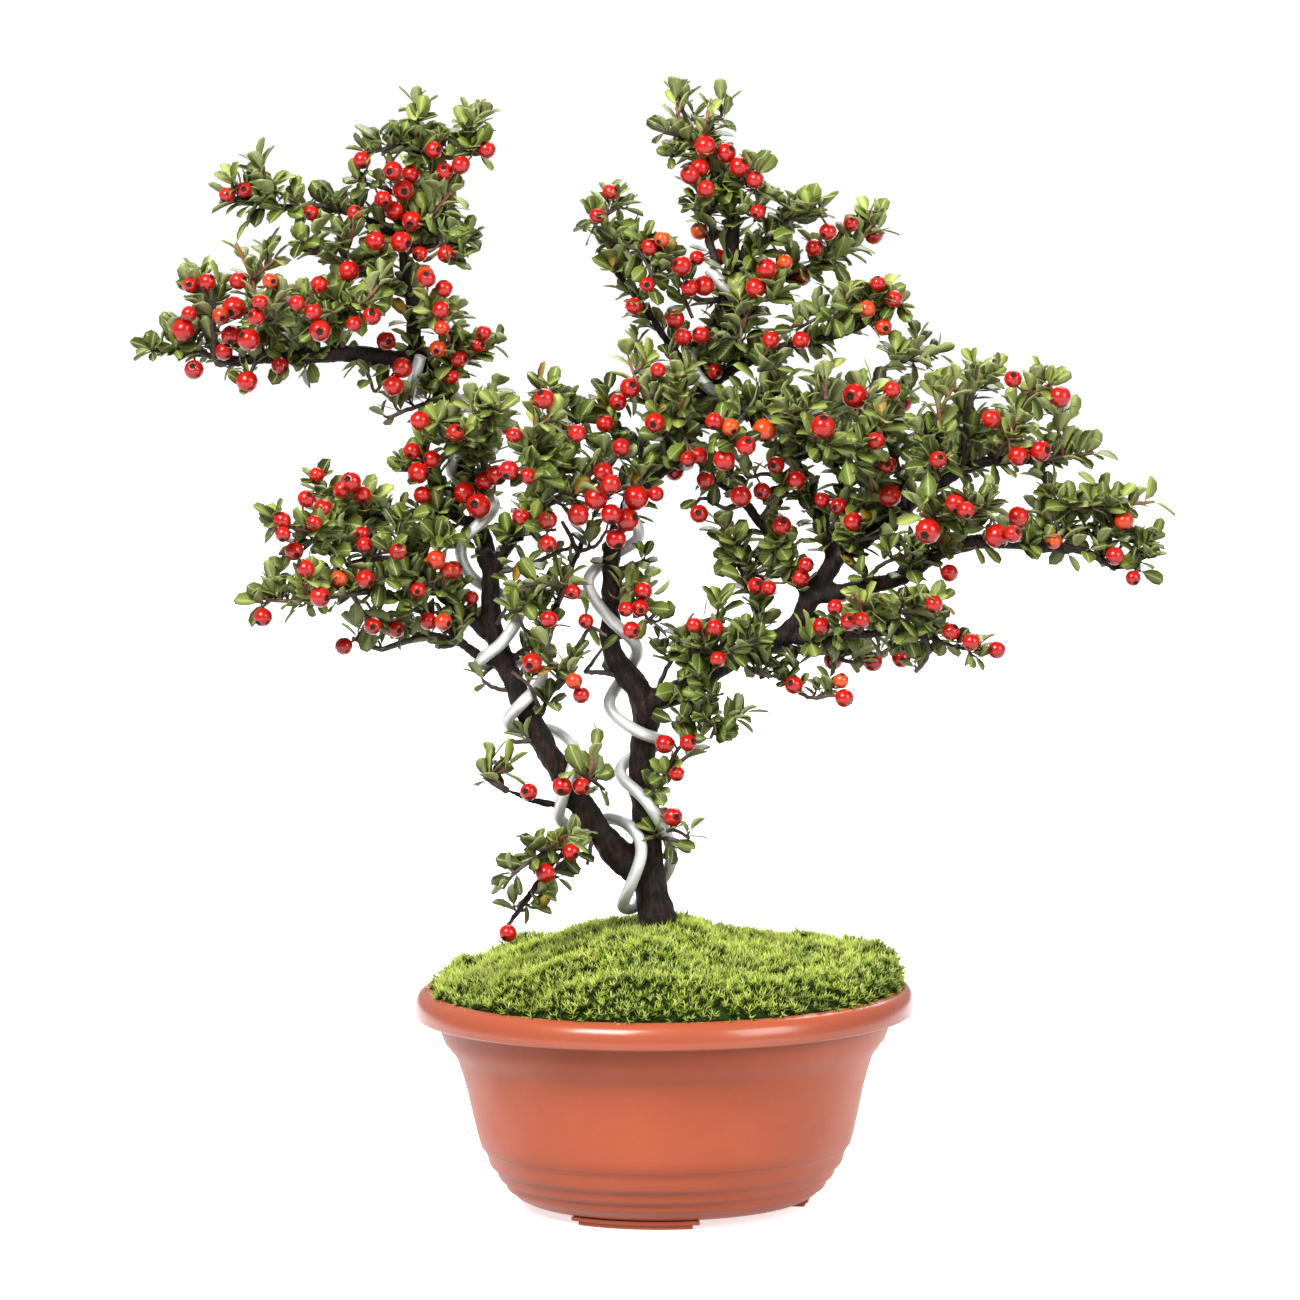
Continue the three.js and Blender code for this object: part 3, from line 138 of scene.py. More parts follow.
# Skin of the wood
VOXEL = 0.85
CRACK_DEPTH = 0.34
KNOT_HEIGHT = 0.6

# Berries
HIDDEN_BERRIES = 110  # tries for the far side
BERRY_REACH = 26  # drawing units between a berry and the twigs that it hides
NEAREST_PERCHES = 40
STALK_RADII = (0.42, 0.5)

# Wire
WIRE_CLEAR = 0.8  # between wire and wood
WIRE_SEARCH = 16  # wood further off than this can't touch the wire
WIRE_END = 0.82  # thickness of its eased ends, as a share

# Stage, in metres. Each lamp is its name, place, size and power
LAMPS = (
    ("Key", (-1.3, -2.0, 2.4), 1.4, 160), ("Fill", (1.9, -1.7, 1.3), 1.4, 50),
    ("Back", (0.4, 2.2, 2.2), 1.8, 60),
)
LAMP_TARGET = Vector((0, 0, 0.2))
SKY_STRENGTH = 0.42
FLOOR_RADIUS = 45
FARTHEST = 90  # distance that the camera sees
SENSOR = 36  # its width in millimetres
LENS = 200  # focal length in millimetres

# Wood: each limb is its radius at every point, and its drawing points
LIMBS = {
    "leader": (
        [8.2, 7.8, 6.4, 5.7, 5.2, 5.3, 4.8, 5.4, 4.2, 3.7, 3.3, 3.2, 3.1, 3.1, 3, 2.9, 2.8, 2.7, 2.6, 2.2],
        [[658, 940, 0], [656.5, 920, 0], [651.5, 893, 0], [649, 866, 0], [646.5, 824, 0], [641.5, 777, 1],
         [643.5, 740, 2], [646, 705, 0], [613, 653, -2], [611, 605, -4], [612, 560, -6], [617, 530, -5],
         [645, 482, -2], [676, 455, 4], [692, 418, 6], [707, 378, 8], [721, 314, 4], [730, 270, 1],
         [733, 232, -1], [734, 214, -2]]),
    "left_trunk": (
        [5.4, 6, 5.2, 4.9, 4.7, 4.6, 4.4, 4.2, 4, 3.9, 3.3, 3.1, 3, 2.9, 2.8, 2.7],
        [[648, 880, 0], [626, 861, -1], [599, 830, -4], [577, 797, -7], [557, 766, -8], [540, 738, -8],
         [523, 703, -8], [508, 670, -7], [493, 630, -6], [490, 598, -5], [490, 565, -4], [476, 510, -1],
         [466, 470, 1], [455, 430, 2], [436, 386, 1], [416, 352, 0]]),
    "left_stub": ([3.4, 3.2], [[490, 572, -4], [482, 548, -8]]),
    "column": (
        [2.7, 2.4, 2.1, 1.9, 1.6],
        [[416, 352, 0], [411, 300, 2], [402, 240, 3], [406, 195, 2], [412, 165, 2]]),
    "pad_limb": (
        [3.6, 3.8, 3.4, 2.9, 2.5, 2, 1.5],
        [[420, 360, 0], [393, 359, -2], [344, 353, -6], [305, 356, -8], [262, 358, -10], [228, 361, -9],
         [212, 357, -8]]),
    "column_arm": ([1.9, 1.5, 1.3], [[402, 240, 3], [372, 222, -2], [348, 213, -4]]),
    "right_limb": (
        [4.8, 4.6, 4.5, 4.4, 4.2, 4.1, 4],
        [[646, 703, 0], [682, 690, -3], [702, 677, -6], [738, 655, -10], [770, 642, -12], [789, 633, -12],
         [803, 614, -12]]),
    "right_up": (
        [4, 3.8, 3.6, 3.2, 2.6, 2.3, 2, 1.5],
        [[803, 614, -12], [809, 596, -12], [824, 578, -10], [834, 558, -8], [824, 532, -6],
         [806, 490, -2], [797, 466, 0], [778, 444, 2]]),
    "right_up_back": ([2.6, 2, 1.6], [[834, 558, -8], [846, 500, 4], [826, 446, 12]]),
    "canopy_limb": (
        [3.4, 3.2, 3, 2.6, 2.4, 2, 1.4],
        [[834, 560, -8], [880, 528, -10], [907, 505, -12], [935, 487, -13], [964, 469, -12],
         [994, 461, -12], [1030, 462, -12]]),
    "right_diagonal": (
        [2.4, 2.1, 1.8, 1.4],
        [[809, 598, -12], [770, 537, -2], [742, 500, 3], [702, 471, 6]]),
    "right_arm": (
        [3.8, 3.4, 3.2, 3, 2.8, 2.3, 1.6, 1.2],
        [[812, 596, -12], [863, 588, -14], [905, 575, -16], [942, 551, -18], [985, 542, -18],
         [1048, 547, -16], [1085, 551, -15], [1116, 569, -14]]),
    "right_arm_upper": ([2.2, 1.8, 1.4], [[1000, 542, -17], [1048, 530, -10], [1092, 532, -6]]),
    "right_low": (
        [2.4, 2, 1.7, 1.4, 1.1, 0.9],
        [[789, 638, -12], [827, 641, -18], [859, 634, -20], [920, 634, -24], [950, 645, -25],
         [984, 650, -26]]),
    "right_vertical": (
        [1.9, 1.7, 1.6, 1.4],
        [[756, 650, -11], [755, 600, 4], [736, 556, 7], [722, 520, 8]]),
    "leader_right": (
        [2.2, 1.8, 1.5, 1.2],
        [[690, 424, 6], [725, 412, 0], [757, 395, -6], [780, 394, -8]]),
    "shelf_limb": (
        [2.8, 2.4, 2, 1.9, 1.7, 1.4],
        [[707, 386, 8], [736, 367, 2], [790, 346, -6], [829, 337, -8], [866, 322, -9], [893, 307, -9]]),
    "upper_right": ([2.4, 2.3, 2, 1.6], [[729, 273, 1], [752, 252, -3], [772, 236, -6], [790, 219, -8]]),
    "grey_twig": ([1.9, 1.5, 1.3, 1.1], [[704, 385, 8], [672, 348, 4], [644, 307, 0], [616, 272, -4]]),
    "clump_limb": (
        [2.9, 2.6, 2.2, 1.8, 1.5, 1.2],
        [[490, 575, -4], [512, 540, -8], [540, 506, -12], [558, 474, -12], [564, 440, -12],
         [551, 404, -12]]),
    "grey_fork": (
        [1.6, 1.4, 1.3, 1.2, 1],
        [[508, 662, -7], [540, 638, -13], [558, 602, -14], [578, 552, -12], [594, 516, -9]]),
    "left_mid": (
        [2.8, 2.4, 1.9, 1.4],
        [[494, 640, -6], [468, 616, -9], [440, 594, -12], [424, 562, -14]]),
    "left_upper": (
        [2.4, 2, 1.8, 1.4],
        [[482, 530, -3], [450, 514, -8], [422, 511, -12], [391, 517, -14]]),
    "left_upper_twig": ([1.5, 1.3, 1.1], [[475, 506, -1], [438, 482, -7], [424, 462, -9]]),
    "left_long": (
        [2.4, 2, 1.6, 1.3, 1],
        [[502, 662, -7], [477, 655, -10], [450, 632, -16], [419, 611, -20], [386, 590, -24]]),
    "trunk_left_twig": ([1.7, 1.3, 1], [[578, 806, -7], [540, 802, -14], [506, 790, -18]]),
    "trunk_low_twig": (
        [1.5, 1.2, 1, 0.8],
        [[596, 836, -4], [572, 846, -12], [543, 875, -18], [509, 923, -22]]),
}

# Bare and old twigs: radius at the foot and at the tip, and the drawing points
TWIGS = [
    (1.8, 1.0, [[717, 268, 4], [711, 245, 6], [711, 223, 7], [703, 205, 8]]),
    (1.6, 0.8, [[733, 232, -1], [722, 185, -2], [702, 150, -3], [690, 125, -3], [676, 100, -3]]),
    (1.6, 0.8, [[412, 165, 2], [416, 135, 0], [418, 112, 0]]),
    (1.2, 0.7, [[214, 358, -11], [213, 330, -12], [211, 305, -13], [200, 285, -14]]),
    (1.3, 0.8, [[270, 352, -9], [275, 330, -13], [275, 310, -16]]),
    (1.2, 0.8, [[268, 206, -10], [265, 188, -10], [263, 167, -9]]),
    (1.8, 1.2, [[893, 516, -13], [875, 501, -8], [858, 478, -3], [840, 458, 0], [823, 443, 3]]),
    (1.7, 1.0, [[905, 507, -13], [897, 465, -15], [885, 425, -16], [900, 405, -17]]),
    (1.4, 0.8, [[964, 469, -12], [965, 430, -14], [971, 398, -15], [978, 365, -16]]),
    (1.2, 0.8, [[1035, 530, -10], [1045, 515, -8], [1060, 512, -6], [1090, 512, -6]]),
    (1.1, 0.7, [[1062, 549, -16], [1055, 515, -14], [1048, 490, -14], [1043, 470, -14]]),
    (1.2, 0.8, [[898, 634, -22], [898, 622, -22], [900, 612, -24]]),
    (1.3, 0.9, [[924, 636, -24], [928, 648, -24], [925, 660, -22], [915, 672, -22]]),
    (1.8, 0.9, [[776, 644, -11], [810, 652, 0], [847, 650, 6], [879, 654, 10], [892, 648, 12]]),
    (1.1, 0.7, [[827, 652, 2], [850, 662, -2], [862, 661, -2]]),
    (1.2, 0.7, [[758, 650, -11], [782, 667, -15], [787, 679, -16], [808, 697, -18], [835, 695, -19]]),
    (1.1, 0.8, [[760, 520, 0], [778, 498, -3], [802, 494, -5]]),
    (1.0, 0.7, [[735, 350, 6], [742, 330, 4], [743, 312, 2], [750, 298, 1]]),
    (1.3, 0.7, [[722, 300, 4], [700, 300, 3], [679, 283, 2], [669, 270, 1], [652, 255, 0],
                [636, 244, -1], [618, 237, -2]]),
    (1.4, 0.8, [[694, 412, 8], [675, 405, 10], [655, 390, 11], [645, 372, 12], [635, 352, 12]]),
    (2.0, 1.6, [[424, 566, -14], [400, 561, -15], [375, 560, -15], [347, 566, -15]]),
    (1.4, 0.8, [[462, 612, -9], [455, 596, -10], [455, 580, -10]]),
    (1.7, 0.8, [[455, 642, -13], [437, 636, -8], [420, 638, -4], [400, 643, 0], [382, 649, 2],
                [352, 638, 3]]),
    (1.4, 0.8, [[391, 517, -14], [370, 521, -15], [348, 520, -15], [333, 513, -15], [339, 500, -15]]),
    (1.1, 0.8, [[462, 545, -6], [440, 538, -8], [420, 528, -10], [405, 535, -12]]),
    (1.5, 0.8, [[506, 790, -18], [500, 787, -20], [483, 777, -20]]),
    (1.0, 0.8, [[536, 740, -9], [523, 742, -13], [509, 741, -15]]),
    (1.0, 0.7, [[512, 690, -8], [495, 688, -10], [482, 680, -11]]),
    (1.0, 0.7, [[572, 846, -12], [564, 862, -15], [553, 872, -17], [541, 884, -18], [525, 903, -19],
                [508, 925, -20]]),
    (1.0, 0.7, [[592, 838, -6], [590, 852, -7], [587, 865, -8]]),
    (0.9, 0.8, [[655, 836, -2], [665, 838, -6], [678, 841, -9]]),
    (1.5, 0.8, [[645, 792, 0], [662, 780, -5], [675, 766, -10], [690, 754, -14]]),
    (1.4, 0.8, [[630, 677, -1], [605, 673, -5], [585, 672, -9]]),
    (1.0, 0.7, [[541, 715, -9], [551, 693, -14], [560, 678, -15], [570, 656, -16], [580, 642, -16]]),
    (1.1, 0.7, [[520, 676, -8], [540, 640, -15], [549, 620, -16]]),
    (1.1, 0.7, [[578, 552, -12], [570, 536, -12], [562, 521, -12]]),
    (1.0, 0.7, [[500, 572, -6], [530, 565, -9], [555, 553, -11], [574, 547, -12]]),
    (1.1, 0.7, [[613, 572, -6], [628, 566, -8], [641, 562, -8]]),
    (1.1, 0.7, [[613, 640, -4], [630, 632, -6], [649, 620, -7], [662, 607, -8]]),
    (1.1, 0.8, [[655, 697, -1], [672, 660, -6], [690, 650, -8]]),
    (1.2, 0.7, [[560, 495, -12], [595, 480, -10], [615, 450, -9], [612, 425, -9]]),
    (1.3, 0.8, [[468, 478, 0], [483, 470, -6], [486, 430, -10], [491, 391, -11]]),
    (1.2, 0.8, [[677, 455, 4], [688, 435, -6], [683, 395, -9], [676, 364, -9]]),
    (1.1, 0.8, [[648, 478, 0], [640, 452, -3], [650, 430, -6]]),
    (1.2, 0.8, [[430, 372, 1], [455, 365, -3], [478, 345, -5], [490, 340, -6]]),
    (1.1, 0.8, [[404, 250, 3], [440, 245, -4], [470, 240, -6]]),
    (1.0, 0.8, [[441, 400, 2], [415, 407, -7], [388, 418, -11]]),
    (1.0, 0.8, [[700, 660, -8], [706, 680, -14], [712, 704, -17]]),
    (1.0, 0.6, [[391, 517, -14], [400, 532, -20], [396, 548, -24], [372, 556, -26]]),
    (0.9, 0.6, [[375, 560, -15], [352, 548, -22], [330, 552, -24]]),
    (0.9, 0.6, [[424, 562, -14], [430, 545, -20], [444, 538, -22]]),
    (0.9, 0.6, [[440, 594, -12], [428, 584, -20], [408, 580, -24]]),
    (0.9, 0.6, [[450, 514, -8], [440, 528, -16], [416, 540, -18]]),
    (0.9, 0.6, [[352, 594, -26], [340, 580, -20], [322, 572, -20]]),
    (0.9, 0.6, [[400, 561, -15], [390, 575, -22], [372, 580, -26]]),
    (1.1, 0.7, [[512, 540, -8], [530, 520, -18], [548, 500, -22], [572, 492, -24]]),
    (1.0, 0.7, [[540, 506, -12], [560, 500, -22], [582, 480, -24], [606, 462, -22], [628, 448, -20]]),
    (1.0, 0.6, [[594, 516, -9], [604, 500, -14], [620, 490, -18], [640, 484, -18]]),
    (0.9, 0.6, [[512, 540, -8], [534, 528, -20], [556, 530, -24]]),
    (0.9, 0.6, [[578, 552, -12], [596, 545, -18], [606, 532, -20]]),
    (0.9, 0.6, [[500, 572, -6], [512, 585, -14], [530, 592, -16]]),
    (0.9, 0.6, [[541, 715, -9], [536, 700, -16], [528, 684, -18], [512, 672, -18]]),
    (0.9, 0.6, [[551, 693, -14], [566, 680, -18], [572, 664, -20]]),
    (0.9, 0.6, [[560, 678, -15], [548, 650, -20], [552, 632, -20]]),
    (0.9, 0.6, [[580, 642, -16], [592, 628, -18], [606, 636, -18]]),
    (0.9, 0.6, [[493, 630, -6], [504, 612, -14], [512, 600, -16]]),
    (0.9, 0.6, [[540, 638, -13], [524, 628, -18], [516, 612, -20]]),
    (0.9, 0.6, [[585, 672, -9], [594, 660, -13], [600, 652, -14]]),
    (1.2, 0.7, [[770, 537, -2], [788, 548, -8], [800, 560, -12]]),
    (1.2, 0.7, [[834, 558, -8], [858, 540, -16], [884, 536, -20], [906, 540, -24]]),
    (1.1, 0.7, [[863, 588, -14], [880, 566, -20], [906, 556, -24]]),
    (1.1, 0.7, [[824, 532, -6], [840, 520, -12], [862, 505, -14], [880, 500, -18]]),
    (1.1, 0.7, [[806, 490, -2], [788, 484, -10], [768, 474, -14], [748, 478, -16]]),
    (1.0, 0.6, [[742, 500, 3], [724, 508, -4], [704, 498, -6], [690, 508, -6]]),
    (1.0, 0.6, [[702, 471, 6], [716, 478, -6], [736, 472, -12]]),
    (1.0, 0.6, [[905, 575, -16], [916, 560, -22], [940, 566, -24]]),
    (0.9, 0.6, [[810, 652, 0], [826, 638, -12], [842, 628, -16]]),
    (0.9, 0.6, [[738, 655, -10], [752, 670, -16], [772, 676, -18], [796, 672, -18]]),
    (0.9, 0.6, [[702, 677, -6], [716, 664, -14], [736, 668, -18]]),
    (1.1, 0.7, [[404, 200, 2], [384, 188, -6], [368, 184, -10], [352, 176, -12]]),
    (0.9, 0.6, [[258, 358, -10], [252, 370, -13], [248, 388, -14]]),
    (0.9, 0.6, [[372, 357, -4], [368, 372, -10], [374, 392, -14]]),
    (0.9, 0.6, [[882, 370, -16], [902, 362, -16], [918, 354, -16], [926, 350, -16]]),
    (0.9, 0.6, [[645, 372, 12], [620, 392, 4], [606, 410, -2], [612, 430, -6]]),
    (0.9, 0.6, [[690, 424, 6], [672, 440, -6], [656, 460, -10]]),
    (0.9, 0.6, [[655, 836, -2], [672, 830, -8], [690, 838, -10]]),
    (1.0, 0.7, [[669, 290, 2], [684, 300, -2], [692, 318, -4]]),
    (1.0, 0.6, [[662, 780, -5], [672, 760, -10], [684, 744, -12], [700, 742, -13]]),
]

# Berries as seen from the front: drawing point and radius in drawing units
BERRIES = [
    (673, 817, 10), (677, 774, 8), (665, 744, 10), (688, 743, 9), (562, 786, 10), (581, 786, 9),
    (529, 792, 9), (571, 852, 9), (545, 873, 10), (508, 933, 9), (532, 663, 10.5), (574, 681, 8.5),
    (581, 695, 8.5), (573, 592, 8), (549, 619, 9), (586, 621, 8), (548, 544, 9), (453, 570, 9.5),
    (472, 598, 7), (544, 399, 10.5), (577, 433, 9), (464, 493, 11.5), (479, 506, 13), (485, 481, 10),
    (497, 475, 10.5), (509, 470, 10), (528, 476, 8), (521, 517, 9), (548, 520, 9.5), (603, 472, 10),
    (611, 484, 10), (596, 498, 12), (578, 515, 11), (636, 498, 13), (627, 520, 12), (611, 514, 10.5),
    (616, 539, 10.5), (656, 494, 8), (643, 591, 9.5), (640, 608, 9), (631, 630, 9), (626, 609, 8),
    (630, 388, 10.5), (618, 402, 9), (605, 424, 9), (621, 447, 9), (455, 433, 9), (514, 435, 8),
    (420, 421, 10), (412, 451, 9), (432, 459, 9), (418, 473, 11), (422, 495, 9), (263, 617, 9.5),
    (320, 597, 10.5), (306, 569, 9), (294, 551, 9.5), (282, 520, 9), (283, 534, 8), (306, 499, 9),
    (317, 475, 8), (323, 509, 10), (314, 523, 8), (342, 490, 9), (351, 482, 10.5), (362, 494, 9),
    (339, 579, 9), (365, 579, 9.5), (398, 552, 9), (436, 560, 10), (447, 570, 8), (418, 590, 8),
    (428, 621, 9), (443, 622, 9), (396, 629, 9), (373, 626, 9), (344, 646, 9), (362, 534, 8),
    (365, 545, 8), (183, 330, 12), (189, 314, 8), (207, 282, 9), (190, 285, 8), (238, 281, 9),
    (234, 308, 12), (221, 316, 9), (270, 281, 8), (231, 335, 10), (249, 340, 11.5), (224, 352, 9),
    (194, 370, 10), (247, 382, 11), (280, 366, 9), (313, 312, 9), (320, 331, 11), (319, 285, 9),
    (297, 303, 8), (256, 317, 9), (260, 302, 8), (349, 271, 11), (244, 190, 8), (227, 195, 8),
    (311, 213, 8), (362, 160, 9), (393, 171, 10), (411, 174, 9.5), (403, 190, 11), (383, 199, 9),
    (394, 211, 10), (412, 221, 10.5), (375, 241, 10), (401, 242, 11), (355, 213, 8), (434, 150, 9),
    (445, 172, 9), (461, 165, 9.5), (487, 150, 9), (425, 275, 9), (446, 254, 9), (420, 254, 8),
    (402, 368, 10.5), (393, 386, 10.5), (386, 341, 10), (354, 324, 8), (372, 316, 9.5), (427, 279, 9),
    (444, 289, 9), (441, 310, 9), (438, 349, 9), (459, 359, 9), (442, 328, 8), (478, 345, 8),
    (484, 333, 8), (452, 377, 8), (705, 146, 11), (726, 153, 10), (739, 167, 10.5), (755, 180, 9),
    (700, 168, 9.5), (690, 175, 10), (706, 189, 9), (597, 216, 8), (610, 192, 8), (650, 247, 9),
    (662, 239, 8), (682, 266, 10), (697, 258, 8), (704, 286, 10.5), (690, 288, 9), (675, 319, 10),
    (683, 337, 9), (701, 335, 9), (634, 306, 9), (647, 285, 8), (767, 269, 10.5), (756, 288, 10.5),
    (771, 340, 9), (758, 212, 8), (814, 248, 9), (828, 232, 9), (785, 262, 8), (851, 224, 8),
    (878, 284, 8), (894, 299, 9), (867, 309, 9), (883, 327, 9), (801, 340, 9), (658, 370, 8),
    (655, 423, 10.5), (714, 421, 9), (730, 427, 9), (764, 430, 12), (746, 446, 10), (724, 460, 11),
    (699, 456, 9), (688, 459, 8), (705, 480, 9), (776, 465, 9), (741, 496, 11), (762, 491, 9),
    (699, 514, 9.5), (855, 396, 13), (892, 390, 9), (823, 427, 12.5), (796, 480, 10), (876, 441, 9),
    (888, 465, 9), (890, 496, 11.5), (853, 522, 10), (839, 506, 9), (822, 500, 8), (782, 526, 10),
    (928, 531, 13), (955, 503, 10), (966, 510, 9), (997, 536, 12.5), (1018, 517, 11), (1013, 534, 9),
    (938, 460, 9), (1018, 456, 10.5), (1040, 451, 11), (991, 419, 10), (1060, 397, 11), (1013, 379, 9),
    (1124, 521, 10), (1115, 556, 9.5), (1133, 578, 8), (1054, 541, 8), (949, 573, 9), (756, 586, 9),
    (769, 588, 8), (801, 578, 9.5), (806, 565, 8), (821, 626, 9), (835, 607, 8), (849, 622, 9),
    (862, 620, 8), (934, 604, 9), (951, 632, 9), (971, 642, 9), (997, 650, 9), (794, 685, 9.5),
    (841, 681, 8), (844, 698, 9.5), (694, 625, 8), (715, 628, 9), (718, 659, 8),
]

# Training wire, from its end by the upper left limb down the left trunk and up the leader
WIRE = [
    [420, 357, -5], [414, 378, -3], [409, 398, 3], [432, 384, 8], [452, 391, 6], [463, 410, 1],
    [472, 426, -2], [460, 446, -6], [453, 470, -1], [476, 489, 5], [496, 506, -5], [480, 524, -10],
    [466, 535, -8], [460, 552, -5], [471, 577, -2], [493, 590, 3], [513, 599, -2], [520, 614, -7],
    [502, 643, -14], [483, 663, -6], [508, 662, 2], [538, 665, -3], [543, 680, -10], [524, 701, -16],
    [507, 722, -9], [519, 731, -3], [545, 727, 1], [567, 737, -4], [576, 752, -10], [569, 778, -14],
    [562, 802, -12], [560, 820, -5], [578, 828, 4], [602, 819, 5], [623, 821, -3], [638, 835, -8.5],
    [643, 851, -9.5], [637, 869, -10], [629, 890, -8], [622, 907, 1], [634, 908, 9], [654, 890, 10],
    [672, 853, 0], [645, 799, -8.6], [619, 772, 1], [640, 752, 10.5], [664, 742, 2], [640, 733, -6],
    [608, 706, 0], [625, 675, 8], [638, 648, -2], [610, 619, -10], [587, 582, -5], [610, 557, 1],
    [640, 537, -5], [628, 506, -12], [634, 476, -6], [662, 460, 10], [689, 466, 4], [680, 440, -2],
    [672, 423, 5], [697, 408, 13.5], [716, 398, 7.5], [700, 379, 1.5], [687, 358, 7], [713, 343, 12],
    [738, 322, 5], [736, 301, 0], [724, 285, -4.5], [709, 270, -3.5],
]

